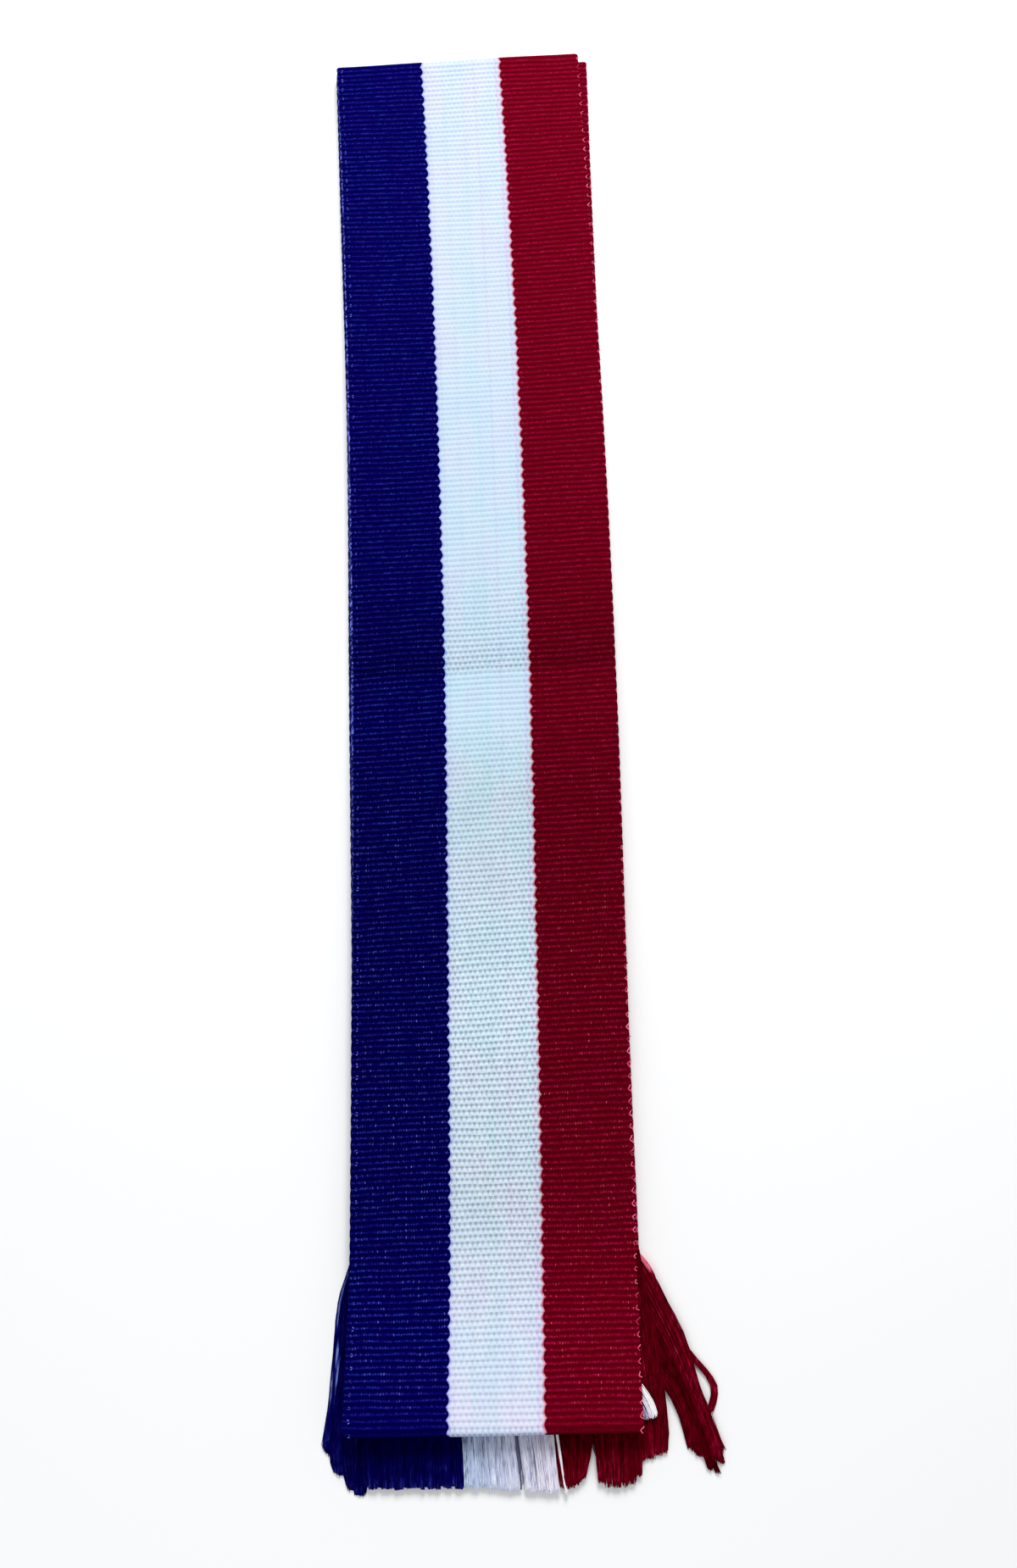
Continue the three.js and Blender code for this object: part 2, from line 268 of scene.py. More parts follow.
outer_radius = float(run_height("run1", FOLDED_END) - run_height("run4", FOLDED_END)) / 2
outer_centre = FOLDED_END + TOP_BULGE - HALF_THICKNESS - outer_radius
inner_radius = LAYER_PITCH / 2
inner_centre = FOLDED_END + TOP_BULGE - INNER_FOLD_SETBACK - HALF_THICKNESS - inner_radius
bottom_radius = float(run_height("run1", -FOLDED_END) - run_height("run2", -FOLDED_END)) / 2
bottom_centre = -FOLDED_END + HALF_THICKNESS + bottom_radius
path = np.concatenate([
    run_path("run3", BAND_END, inner_centre),
    fold_path("run3", "run2", inner_centre, 1, -1),
    run_path("run2", inner_centre, bottom_centre),
    fold_path("run2", "run1", bottom_centre, -1, 1),
    run_path("run1", bottom_centre, outer_centre),
    fold_path("run1", "run4", outer_centre, 1, 1),
    run_path("run4", outer_centre, BAND_END),
])
path_length = np.concatenate([[0], np.cumsum(np.hypot(*np.diff(path[:, :2], axis=0).T))])
CUT_LENGTH = float(path_length[-1])
print("the band was cut", round(CUT_LENGTH), "mm long without its fringe")

# %% [markdown]
# The ribs
#
# A rib is a thick weft thread with the fine warp bending over it, so the cloth is a row of small half-round
# ridges. They show on the outline and catch the light, so they are real geometry: eight rows of vertices
# for each rib on the run that is seen, and four on the hidden ones. Across the sash a few columns are
# enough, because a rib is almost straight. The rib number along the cloth is kept in a UV map for the
# weave's colours to follow. A rib catches the light a little before its middle.

# %% Rows along the cloth
RIB_PITCH = 2.15
ROWS_ON_TOP = 8
ROWS_HIDDEN = 4
RIB_FULLNESS = 0.7
LIGHT_LINE = 0.45

row_phases = []
for rib in range(int(CUT_LENGTH / RIB_PITCH)):
    middle = (rib + 0.5) * RIB_PITCH
    seen = np.interp(middle, path_length, path[:, 5]) > 0.5
    count = ROWS_ON_TOP if seen else ROWS_HIDDEN
    row_phases.extend(rib + np.arange(count) / count)
row_phases.append(float(int(CUT_LENGTH / RIB_PITCH)))
row_phases = np.array(row_phases)
rows = np.stack([np.interp(row_phases * RIB_PITCH, path_length, path[:, k]) for k in (0, 1, 2, 3, 4, 6)], 1)
rib_shape = np.sin(math.pi * (row_phases % 1)) ** RIB_FULLNESS
half_cloth = HALF_THICKNESS - column_at(RIB_RISE, "depth", rows[:, 0]) * (1 - rib_shape)
print(int(row_phases[-1]), "ribs,", len(rows), "rows")

# %% [markdown]
# The cross-section is a flat ring: one face of the cloth, a rounded edge, the other face and the other
# edge. At the edges the weft turns back after every second rib, which gives the outline its small bumps.
# The edge is tucked in by half a millimetre, because the last threads roll under. The blue edge is woven
# with a few threads more. The ribs also waver a little across the sash, as they do when a soft band is
# folded by hand.

# %% Columns across the cloth
EDGE_BUMP = 0.22
EDGE_TUCK = 0.5
EDGE_ZONE = 1.5
BLUE_MARGIN = 0.7

rim = HALF_WIDTH - EDGE_TUCK
face_right = np.array([12, 24, 33, 42, rim - 0.9, rim - 0.2])
blue_side = np.where(face_right > HALF_WIDTH - EDGE_ZONE, face_right + BLUE_MARGIN, face_right)
face_across = np.concatenate([-blue_side[::-1], [0], face_right])
face_fullness = np.array([0.6, 0.96, 1, 1, 1, 1, 1, 1, 1, 1, 1, 0.96, 0.6])
back_across = np.array([rim - 0.6, 24, 0, -24, 0.6 - rim - BLUE_MARGIN])
ring_across = np.concatenate([face_across, [rim], back_across, [-rim - BLUE_MARGIN]])
ring_offset = np.concatenate([face_fullness, [0], -np.array([0.9, 1, 1, 1, 0.9]), [0]])


def waver(across, phase):
    """Small wandering of the ribs along the sash, in mm, as the sum of a few slow waves."""
    slow = 0.22 * np.sin(across / 14.0 + phase / 9.0) * np.sin(phase / 31.0 + 0.8)
    return slow + 0.10 * np.sin(across / 6.5 - phase / 5.0) * np.sin(phase / 13.0)


def band_ring(row, phase, half):
    """Corner places of one ring round the cloth, in mm."""
    along, up, face_along, face_up, shift, spread = row
    bump = EDGE_BUMP * (abs(math.cos(math.pi * (phase - LIGHT_LINE) / 2)) - 0.5)
    bump -= FOLD_PINCH * abs(face_along) ** 3
    stretch = 1 + spread / HALF_WIDTH + bump / HALF_WIDTH * (np.abs(ring_across) > HALF_WIDTH - EDGE_ZONE)
    across = ring_across * stretch
    rise = float(column_at(RIB_RISE, "rise", along)) / BAND_WIDTH
    bow = float(column_at(RIB_RISE, "bow", along))
    lean = across * rise + bow * (across / HALF_WIDTH) ** 2 * abs(face_up)
    lean = lean + waver(across, phase) * abs(face_up)
    offset = ring_offset * half
    return np.stack([shift + across, along + lean + offset * face_along, up + offset * face_up], 1)


rings = np.array([band_ring(*parts) for parts in zip(rows, row_phases, half_cloth)])
print("band rings", rings.shape)

# %% [markdown]
# The mesh is a loft: each ring is joined to the next by a strip of four-sided faces, and the two cut ends
# are closed. The UV map named weave holds millimetres across the cloth and the rib number along it.


# %% Build the band's mesh
def loft_mesh(name, rings):
    """A closed mesh through rings of points given in mm."""
    count, around = rings.shape[:2]
    here = np.arange(around)
    following = (here + 1) % around
    faces = []
    for ring in range(count - 1):
        first, second = ring * around, (ring + 1) * around
        corners = [first + here, first + following, second + following, second + here]
        faces.extend(np.stack(corners, 1).tolist())
    faces.append(list(range(around))[::-1])
    faces.append([(count - 1) * around + k for k in range(around)])
    mesh = bpy.data.meshes.new(name)
    mesh.from_pydata((rings.reshape(-1, 3) * MM).tolist(), [], faces)
    mesh.validate()
    return mesh


def turn_outwards(mesh):
    """Flips every face if the mesh's volume counts as negative."""
    mesh.calc_loop_triangles()
    points = np.empty(len(mesh.vertices) * 3)
    mesh.vertices.foreach_get("co", points)
    corners = np.empty(len(mesh.loop_triangles) * 3, np.int32)
    mesh.loop_triangles.foreach_get("vertices", corners)
    a, b, c = points.reshape(-1, 3)[corners.reshape(-1, 3)].transpose(1, 0, 2)
    if np.einsum("ij,ij->i", a, np.cross(b, c)).sum() < 0:
        mesh.flip_normals()
    return mesh


def new_piece(name, mesh, material):
    """An object in the scene that wears one material and is shaded smooth."""
    mesh.materials.append(material)
    mesh.shade_smooth()
    return put_in_scene(name, mesh)


band_mesh = loft_mesh("ribbed_band", rings)
weave_uv = band_mesh.uv_layers.new(name="weave")
corner_vertices = np.empty(len(band_mesh.loops), np.int32)
band_mesh.loops.foreach_get("vertex_index", corner_vertices)
uv_across = np.tile(ring_across + HALF_WIDTH, len(rows))
uv_phase = np.repeat(row_phases, len(ring_across))
weave_uv.data.foreach_set("uv", np.stack([uv_across, uv_phase], 1)[corner_vertices].ravel())
turn_outwards(band_mesh)
print("band triangles", triangle_count(band_mesh))

# %% [markdown]
# A second map, named OFBake, lays the colours out for baking into one picture. The face on top of the pile
# gets more than half of it, in two strips. The underside gets a strip of its own, and the hidden faces share
# what is left.

# %% Map for baked colours
AROUND = len(ring_across)
FACE_STEPS = len(face_across) + 1
STRIP_ENDS = (0.004, 0.996)
ENDS_LOW, ENDS_HIGH = 0.98, 0.995

top_rings = np.flatnonzero(np.interp(row_phases * RIB_PITCH, path_length, path[:, 5]) > 0.5)
top_first, top_last, last_ring = int(top_rings[0]), int(top_rings[-1]), len(rows) - 1
top_middle = (top_first + top_last) // 2
STRIPS = [
    dict(first=top_first, last=top_middle, steps=(0, FACE_STEPS), low=0.0, high=0.29),
    dict(first=top_middle, last=top_last, steps=(0, FACE_STEPS), low=0.3, high=0.59),
    dict(first=top_last, last=last_ring, steps=(0, FACE_STEPS), low=0.6, high=0.78),
    dict(first=0, last=top_first, steps=(0, FACE_STEPS), low=0.79, high=0.86),
    dict(first=0, last=last_ring, steps=(FACE_STEPS, AROUND), low=0.87, high=0.97),
]
ring_points = np.stack([ring_across, ring_offset * HALF_THICKNESS], 1)[np.arange(-1, AROUND)]
around = np.concatenate([[0], np.cumsum(np.hypot(*np.diff(ring_points, axis=0).T))])

band_mesh.loops.foreach_get("vertex_index", corner_vertices)
side_corners = 4 * AROUND * last_ring
face_number = np.arange(side_corners) // 4
face_ring, face_step = face_number // AROUND, (face_number % AROUND + 1) % AROUND
corner_ring, corner_step = np.divmod(corner_vertices[:side_corners], AROUND)
corner_step = (corner_step + 1) % AROUND
corner_step[(face_step == AROUND - 1) & (corner_step == 0)] = AROUND
baked_places = np.zeros((len(corner_vertices), 2))
for strip in STRIPS:
    low_step, high_step = strip["steps"]
    chosen = (face_ring >= strip["first"]) & (face_ring < strip["last"])
    chosen = np.flatnonzero(chosen & (face_step >= low_step) & (face_step < high_step))
    ends = row_phases[[strip["first"], strip["last"]]]
    baked_places[chosen, 0] = np.interp(row_phases[corner_ring[chosen]], ends, STRIP_ENDS)
    baked_places[chosen, 1] = np.interp(around[corner_step[chosen]], around[[low_step, high_step]],
                                        (strip["low"], strip["high"]))
end_corners = corner_vertices[side_corners:] % AROUND
second_end = np.arange(len(end_corners)) // AROUND
baked_places[side_corners:, 0] = 0.02 + 0.5 * second_end + 0.4 * (ring_across[end_corners] / BAND_WIDTH + 0.5)
baked_places[side_corners:, 1] = np.interp(ring_offset[end_corners], (-1, 1), (ENDS_LOW, ENDS_HIGH))
band_mesh.uv_layers.new(name="OFBake").data.foreach_set("uv", baked_places.ravel())
print("rings of the top face", top_first, "to", top_last)

# %% [markdown]
# The ribbed cloth
#
# It is a warp-faced rib weave in lustrous rayon: what is seen is only warp. Two warp threads float together
# over a rib and the next two over the next rib, so the floats stand in a brick pattern, 1.82 mm apart on
# each rib. A float is widest at the line where the rib catches the light and narrows on its way up to the
# next furrow. On the white stripe this reads as rows of small bright triangles with grey ones between them.
# On the blue and red stripes the dyed yarn is so dark that only a thin broken line of light on each rib
# shows, with a sparkle here and there where one thread's twist turns to the light. Where two stripes meet,
# the last float alternates from rib to rib, so the border is scalloped once in every two ribs.

# %% Weave coordinates
FLOAT_PITCH = 1.82
THREAD_PITCH = FLOAT_PITCH / 2
HANDMADE = [
    dict(across=9.0, along=2.5, wander=(0.5, 0.32, 0.0)),
    dict(across=1.3, along=0.9, wander=(0.3, 0.13, 0.0)),
]

cloth, tree, cloth_shader = new_material("warp_faced_rayon_rib", roughness=0.6, specular=0.004)
weave = add(tree, "ShaderNodeUVMap", uv_map="weave")
handmade = weave
for waves in HANDMADE:
    flat = add(tree, "ShaderNodeMapping", {0: weave, 3: (1 / waves["across"], 1 / waves["along"], 1.0)})
    wobble = add(tree, "ShaderNodeTexNoise", {0: flat, "Scale": 1.0, "Detail": 1.0}, noise_dimensions="2D")
    wobble = wobble.node.outputs["Color"]
    centred = add(tree, "ShaderNodeVectorMath", [wobble, (0.5, 0.5, 0.5)], operation="SUBTRACT")
    moves = [centred, waves["wander"], handmade]
    handmade = add(tree, "ShaderNodeVectorMath", moves, operation="MULTIPLY_ADD")
across = add(tree, "ShaderNodeSeparateXYZ", [handmade])
phase = across.node.outputs[1]
from_line = add(tree, "ShaderNodeMath", [phase, LIGHT_LINE], operation="SUBTRACT")
row_number = add(tree, "ShaderNodeMath", [from_line], operation="FLOOR")
in_row = add(tree, "ShaderNodeMath", [from_line], operation="FRACT")
in_floats = add(tree, "ShaderNodeMath", [across, FLOAT_PITCH], operation="DIVIDE")


def how_far(value, other):
    """The distance between two values."""
    difference = add(tree, "ShaderNodeMath", [value, other], operation="SUBTRACT")
    return add(tree, "ShaderNodeMath", [difference], operation="ABSOLUTE")


def from_middle_of(place):
    """How far a place is from the middle of its cell. Cells begin at whole numbers."""
    return how_far(add(tree, "ShaderNodeMath", [place], operation="FRACT"), 0.5)


def brick_pattern(row):
    """Whether a row is an odd one, and the place in its floats, which odd rows shift by half a float."""
    odd = add(tree, "ShaderNodeMath", [row, 2.0], operation="FLOORED_MODULO")
    return odd, add(tree, "ShaderNodeMath", [odd, 0.5, in_floats], operation="MULTIPLY_ADD")


def chance_of(column, row):
    """A random number from 0 to 1 for each cell of the weave."""
    cell = add(tree, "ShaderNodeCombineXYZ", [column, row])
    return add(tree, "ShaderNodeTexWhiteNoise", [cell], noise_dimensions="2D")


def patches(across_size, rows_size, shift=0.0, detail=2.0):
    """A smooth noise with features of a size in mm across and in ribs along."""
    scale = (1 / across_size, 1 / rows_size, 1.0)
    where = add(tree, "ShaderNodeMapping", {0: weave, 1: (shift, shift, 0.0), 3: scale})
    return add(tree, "ShaderNodeTexNoise", {0: where, "Scale": 1.0, "Detail": detail}, noise_dimensions="2D")


_, float_place = brick_pattern(row_number)
float_number = add(tree, "ShaderNodeMath", [float_place], operation="FLOOR")
from_middle = from_middle_of(float_place)
float_chance = chance_of(float_number, row_number)
thread_place = add(tree, "ShaderNodeMath", [across, THREAD_PITCH], operation="DIVIDE")
thread_number = add(tree, "ShaderNodeMath", [thread_place], operation="FLOOR")
to_line = add(tree, "ShaderNodeMath", [from_line, 0.5], operation="ADD")
line_row = add(tree, "ShaderNodeMath", [to_line], operation="FLOOR")
thread_chance_here = chance_of(thread_number, line_row)
print("a float is", FLOAT_PITCH, "mm wide and a rib", RIB_PITCH, "mm")

# %% [markdown]
# The run on top doesn't look the same all along, and its light and shade are painted into its colours.
# Where it lies pressed flat, near both ends, the floats stand up less, so their painted light and shade is
# weaker, and the dyed yarn is painted a little lighter, as painted sheen. Below the middle they stand out and
# sparkle. Just above the old crease in the middle they stand out too, and below it the cloth is smooth. Where
# the cloth turns under at the bottom fold, painted shade makes it dull and dark and the lines of light die
# away. One table says all this. Its place goes from 0 inside the bottom fold to 1 at the top folds, in both
# directions along the cloth. It sets the painted light level of the dyed stripes, and a tint that gives the
# white yarn its cast together with its painted light and shade.

# %% The look along the top run
TOP_RUN_START = float(np.interp(1, np.cumsum(path[:, 5]), path_length)) / RIB_PITCH
TOP_RUN_RIBS = FOLDED_LENGTH / RIB_PITCH
# This table paints light and shade into the colours: the light level of the dyed stripes, the white's cast
# with its light and shade, how strong the floats' light and shade are, and how strong the lines of light, the
# sparkles and the blue rim's dashes are. Its first rows are painted shade in the bottom fold.
ALONG_LOOK = [
    dict(place=0.0, painted_light_level=0.2, line=0.0, painted_float_shading=0.1, sparkle=0.0, rim=0.0, cast_and_painted_light="8b8e9c"),
    dict(place=0.0055, painted_light_level=0.36, line=0.0, painted_float_shading=0.75, sparkle=0.0, rim=0.0, cast_and_painted_light="aca8b6"),
    dict(place=0.0085, painted_light_level=0.58, line=0.15, painted_float_shading=0.5, sparkle=0.0, rim=0.0, cast_and_painted_light="cfbec4"),
    dict(place=0.012, painted_light_level=0.7, line=0.45, painted_float_shading=0.2, sparkle=0.1, rim=0.0, cast_and_painted_light="d8c2c6"),
    dict(place=0.035, painted_light_level=0.69, line=0.85, painted_float_shading=0.2, sparkle=1.0, rim=0.0, cast_and_painted_light="d1c2c5"),
    dict(place=0.07, painted_light_level=0.69, line=1.0, painted_float_shading=0.32, sparkle=1.0, rim=0.0, cast_and_painted_light="cfc2c4"),
    dict(place=0.15, painted_light_level=0.56, line=1.0, painted_float_shading=0.62, sparkle=1.0, rim=0.0, cast_and_painted_light="c1b8b6"),
    dict(place=0.28, painted_light_level=0.51, line=1.0, painted_float_shading=0.64, sparkle=0.85, rim=0.0, cast_and_painted_light="c3bebc"),
    dict(place=0.42, painted_light_level=0.49, line=0.95, painted_float_shading=0.36, sparkle=0.45, rim=0.4, cast_and_painted_light="b9b6b4"),
    dict(place=0.485, painted_light_level=0.57, line=0.85, painted_float_shading=0.08, sparkle=0.3, rim=0.8, cast_and_painted_light="bebebf"),
    dict(place=0.511, painted_light_level=0.54, line=0.85, painted_float_shading=0.1, sparkle=0.3, rim=0.8, cast_and_painted_light="babbbc"),
    dict(place=0.516, painted_light_level=0.43, line=0.8, painted_float_shading=0.5, sparkle=0.3, rim=0.9, cast_and_painted_light="b6b4b5"),
    dict(place=0.533, painted_light_level=0.49, line=0.8, painted_float_shading=0.3, sparkle=0.2, rim=1.0, cast_and_painted_light="bab7b8"),
    dict(place=0.6, painted_light_level=0.61, line=0.8, painted_float_shading=0.06, sparkle=0.15, rim=0.8, cast_and_painted_light="c0bcbd"),
    dict(place=0.85, painted_light_level=0.69, line=0.75, painted_float_shading=0.05, sparkle=0.12, rim=1.0, cast_and_painted_light="c4b9be"),
    dict(place=1.0, painted_light_level=0.75, line=0.7, painted_float_shading=0.13, sparkle=0.1, rim=0.3, cast_and_painted_light="c4b7bd"),
]
up_the_run = add(tree, "ShaderNodeMath", [how_far(phase, TOP_RUN_START), TOP_RUN_RIBS], operation="DIVIDE")


def along_look(column):
    """A column of the table above as a ramp along the run."""
    stops = [(row["place"], row[column]) for row in ALONG_LOOK]
    return add(tree, "ShaderNodeValToRGB", [up_the_run], stops=stops)


painted_light_level = along_look("painted_light_level")
painted_float_shading = along_look("painted_float_shading")
print("the top run starts at rib", round(TOP_RUN_START), "and has", round(TOP_RUN_RIBS))

# %% [markdown]
# A float is a soft triangle. A ramp gives its half width, in floats, from one line of light to the next.
# What is inside that width is light, with a soft rim, and what is outside is the shade between two floats.

# %% The shape of one float
FLOAT_HALF_WIDTH = [
    (0.0, 0.62), (0.1, 0.56), (0.35, 0.39), (0.62, 0.26), (0.86, 0.16), (0.93, 0.24), (1.0, 0.62),
]
FLOAT_RIM = (-0.16, 0.2)

float_reach = add(tree, "ShaderNodeValToRGB", [in_row], stops=FLOAT_HALF_WIDTH)
inside_float = add(tree, "ShaderNodeMath", [float_reach, from_middle], operation="SUBTRACT")
float_light = add(tree, "ShaderNodeMapRange", [inside_float, *FLOAT_RIM], interpolation_type="SMOOTHSTEP")
print("half widths of a float", [width for _, width in FLOAT_HALF_WIDTH])

# %% [markdown]
# The borders between the stripes are two lines along the cloth. The size of a cosine, which swings once in
# two ribs, pushes each of them into the white stripe and lets it back again.

# %% Stripe borders
BLUE_WIDTH = 34.8
WHITE_WIDTH = 32.3
SCALLOP = 0.9
SCALLOP_MEAN = 0.64 * SCALLOP
BORDER_SOFTNESS = 0.07

scallop_angle = add(tree, "ShaderNodeMath", [from_line, math.pi / 2], operation="MULTIPLY")
scallop_wave = add(tree, "ShaderNodeMath", [scallop_angle], operation="COSINE")
scallop = add(tree, "ShaderNodeMath", [scallop_wave], operation="ABSOLUTE")
blue_line = BLUE_WIDTH - SCALLOP_MEAN
red_line = BLUE_WIDTH + WHITE_WIDTH + SCALLOP_MEAN
blue_border = add(tree, "ShaderNodeMath", [scallop, SCALLOP, blue_line], operation="MULTIPLY_ADD")
red_border = add(tree, "ShaderNodeMath", [scallop, -SCALLOP, red_line], operation="MULTIPLY_ADD")
from_blue = add(tree, "ShaderNodeMath", [across, blue_border], operation="SUBTRACT")
from_red = add(tree, "ShaderNodeMath", [red_border, across], operation="SUBTRACT")
past_blue, before_red = (
    add(tree, "ShaderNodeMapRange", [distance, -BORDER_SOFTNESS, BORDER_SOFTNESS])
    for distance in (from_blue, from_red))
print("borders at", round(blue_line, 1), "and", round(red_line, 1), "mm, swinging by", SCALLOP, "mm")

# %% [markdown]
# The white stripe's shadows are blue-grey, as thin white rayon lets the light through. Patches of it are a
# shade more cyan or more lilac. The threads next to the dark stripes pick up a little of their colour:
# lilac beside the blue, pink and cream beside the red, and one thread a little further in looks greenish.

# %% White stripe
BORDER_ZONE = 3.0
WHITE_LEVEL = 0.62

uneven_floats = add(tree, "ShaderNodeMath", [float_chance, 0.3, -0.15], operation="MULTIPLY_ADD")
speckle = add(tree, "ShaderNodeMath", [patches(0.8, 0.5, 5.0), 1.0, -0.5], operation="MULTIPLY_ADD")
uneven_light = add(tree, "ShaderNodeMath", [uneven_floats, speckle], operation="ADD")
white_light = add(tree, "ShaderNodeMath", [float_light, WHITE_LEVEL], operation="SUBTRACT")
white_light = add(tree, "ShaderNodeMath", [white_light, uneven_light], operation="ADD")
white_light = add(tree, "ShaderNodeMath", [white_light, painted_float_shading, WHITE_LEVEL], operation="MULTIPLY_ADD")
white_colour = add(tree, "ShaderNodeValToRGB", [white_light], stops=[
    (0.0, "93a7b6"), (0.35, "a9bfcf"), (0.7, "c3dae9"), (1.0, "cfe3f3"),
])
beside_blue, beside_red = (
    add(tree, "ShaderNodeMath", [distance, BORDER_ZONE], operation="DIVIDE")
    for distance in (from_blue, from_red))
white_casts = [
    (patches(14.0, 11.0), [(0.3, "f8fdff"), (0.42, "f9ffff"), (0.52, "ffffff"), (0.7, "fffbff")]),
    (chance_of(thread_number, 0.0), [(0.0, "f4fff8"), (0.12, "ffffff"), (0.85, "ffffff"), (1.0, "fff4fc")]),
    (beside_blue, [(0.0, "b4aef6"), (0.1, "d8d4ff"), (0.28, "f8f6ff"), (0.42, "f2fcf6"), (0.6, "ffffff")]),
    (beside_red, [(0.0, "e4647e"), (0.09, "ff9ca8"), (0.18, "ffc8cc"), (0.28, "ffeeea"),
                  (0.42, "effff9"), (0.55, "fcf4ff"), (0.75, "fff2fc"), (1.0, "ffffff")]),
]
casts = [add(tree, "ShaderNodeValToRGB", [where], stops=stops) for where, stops in white_casts]
# The last cast is the table's tint, which paints the white's light and shade along the run.
for cast in (*casts, along_look("cast_and_painted_light")):
    white_colour = add(tree, "ShaderNodeMix", {0: 1.0, 6: white_colour, 7: cast},
                       data_type="RGBA", blend_type="MULTIPLY")
white_colour = add(tree, "ShaderNodeVectorMath", {0: white_colour, "Scale": 2.0}, operation="SCALE")
print("white stripe from", BLUE_WIDTH, "to", BLUE_WIDTH + WHITE_WIDTH, "mm")

# %% [markdown]
# Blue and red stripes
#
# Both are painted almost black in the furrows, as painted shade. The broken line is a painted highlight on
# the
# same threads: each float arches over its rib, so the line is a row of small arches with gaps between them,
# and one thread of it is brighter than the next.

# %% The line of light on the dyed stripes
LINE_RAISE = 0.06
RAISE_SPREAD = 0.09

odd_line, line_place = brick_pattern(line_row)
off_middle = from_middle_of(line_place)
in_thread = from_middle_of(thread_place)
arch_depth = add(tree, "ShaderNodeMath", [painted_float_shading, 0.62, 0.14], operation="MULTIPLY_ADD")
arch = product(tree, off_middle, off_middle, arch_depth)
lowest_raise = LINE_RAISE - RAISE_SPREAD / 2
own_raise = add(tree, "ShaderNodeMath", [thread_chance_here, RAISE_SPREAD, lowest_raise],
                operation="MULTIPLY_ADD")
from_crest = add(tree, "ShaderNodeMath", [from_line, line_row], operation="SUBTRACT")
from_crest = add(tree, "ShaderNodeMath", [from_crest, own_raise], operation="SUBTRACT")
from_arch = add(tree, "ShaderNodeMath", [from_crest, arch], operation="ADD")
line_distance = add(tree, "ShaderNodeMath", [from_arch], operation="ABSOLUTE")
own_height = add(tree, "ShaderNodeMath", [thread_chance_here, -0.6, 1.3], operation="MULTIPLY_ADD")
core_distance = add(tree, "ShaderNodeMath", [line_distance, own_height], operation="MULTIPLY")
print("the line of light is", LINE_RAISE, "ribs up, give or take", RAISE_SPREAD / 2)

# %% [markdown]
# What is lit fades with a distance: from the line, in ribs, or from the middle of a float or a thread, in
# floats or threads. A table says for each part how near it is fully lit and from how far it is dark.

# %% How the parts of a rib fade
FADING = [
    dict(part="line_core", distance=core_distance, near=0.02, far=0.17),
    dict(part="rib", distance=line_distance, near=0.08, far=0.45),
    dict(part="float", distance=off_middle, near=0.28, far=0.47),
    dict(part="thread", distance=in_thread, near=0.18, far=0.48),
    dict(part="spark_across", distance=in_thread, near=0.08, far=0.24),
    dict(part="spark_along", distance=line_distance, near=0.08, far=0.22),
    dict(part="dot_along", distance=line_distance, near=0.08, far=0.2),
]
fades = {
    row["part"]: add(tree, "ShaderNodeMapRange", [row["distance"], row["far"], row["near"]],
                     interpolation_type="SMOOTHSTEP")
    for row in FADING
}
mottle = add(tree, "ShaderNodeMath", [patches(0.5, 0.4, 9.0), 1.0, 0.3], operation="MULTIPLY_ADD")
rib_glow = add(tree, "ShaderNodeMath", [fades["rib"], mottle], operation="MULTIPLY")
# The line of light is painted darker in the gaps between floats, as painted shade.
painted_parting_shade = add(tree, "ShaderNodeMath", [1.0, fades["float"]], operation="SUBTRACT")
parting_depth = add(tree, "ShaderNodeMath", [painted_float_shading, 0.35, 0.6], operation="MULTIPLY_ADD")
between_floats = add(tree, "ShaderNodeMath", [painted_parting_shade, parting_depth], operation="MULTIPLY")
dash = product(
    tree,
    add(tree, "ShaderNodeMath", [thread_chance_here, 1.0, 0.15], operation="MULTIPLY_ADD"),
    add(tree, "ShaderNodeMath", [fades["thread"], 0.5, 0.5], operation="MULTIPLY_ADD"),
    add(tree, "ShaderNodeValToRGB", [patches(6.0, 2.2, 40.0)], stops=[(0.3, 0.3), (0.62, 1.0)]),
    add(tree, "ShaderNodeMath", [1.0, between_floats], operation="SUBTRACT"),
    along_look("line"),
)
print("parts that fade:", list(fades))

# %% [markdown]
# Sparkles keep to a few threads for some ribs at a time, because they come from the way that thread is
# twisted. So a noise that is drawn out along the cloth says where they may be, and a random number for each
# cell of the weave says which of them lights up.

# %% Sparkles
STREAK_ACROSS = 0.83
STREAK_ALONG = 0.09

spark_shape = add(tree, "ShaderNodeMath", [fades["spark_across"], fades["spark_along"]],
                  operation="MULTIPLY")
streak_place = add(tree, "ShaderNodeMath", [thread_number, STREAK_ACROSS], operation="MULTIPLY")
streak_row = add(tree, "ShaderNodeMath", [line_row, STREAK_ALONG], operation="MULTIPLY")
streak_cell = add(tree, "ShaderNodeCombineXYZ", [streak_place, streak_row])
streaks = add(tree, "ShaderNodeTexNoise", {0: streak_cell, "Scale": 1.0, "Detail": 2.0},
              noise_dimensions="2D")
in_streak = add(tree, "ShaderNodeValToRGB", [streaks], stops=[(0.42, 0.1), (0.56, 0.3), (0.7, 1.0)])
spark_chance = add(tree, "ShaderNodeValToRGB", [chance_of(line_row, thread_number)],
                   stops=[(0.56, 0.0), (0.95, 1.0)])
spark_share = add(tree, "ShaderNodeMath", [in_streak, spark_chance], operation="MULTIPLY")
spark = product(tree, spark_shape, spark_share, along_look("sparkle"))
print("a streak of sparkles is about", round(1 / STREAK_ALONG), "ribs long")

# %% [markdown]
# One thread near each border of the white stripe shows as a dot on every second rib, and along the rim of
# the blue edge the outermost thread catches the light in short dashes.

# %% Border dots and the blue rim
BORDER_DOT_INSET = 1.2
DOT_CORE, DOT_REACH = 0.1, 0.3
RIM_LINE = 0.35
RIM_FADE = 0.15
DASHES_PER_RIB = 2.6

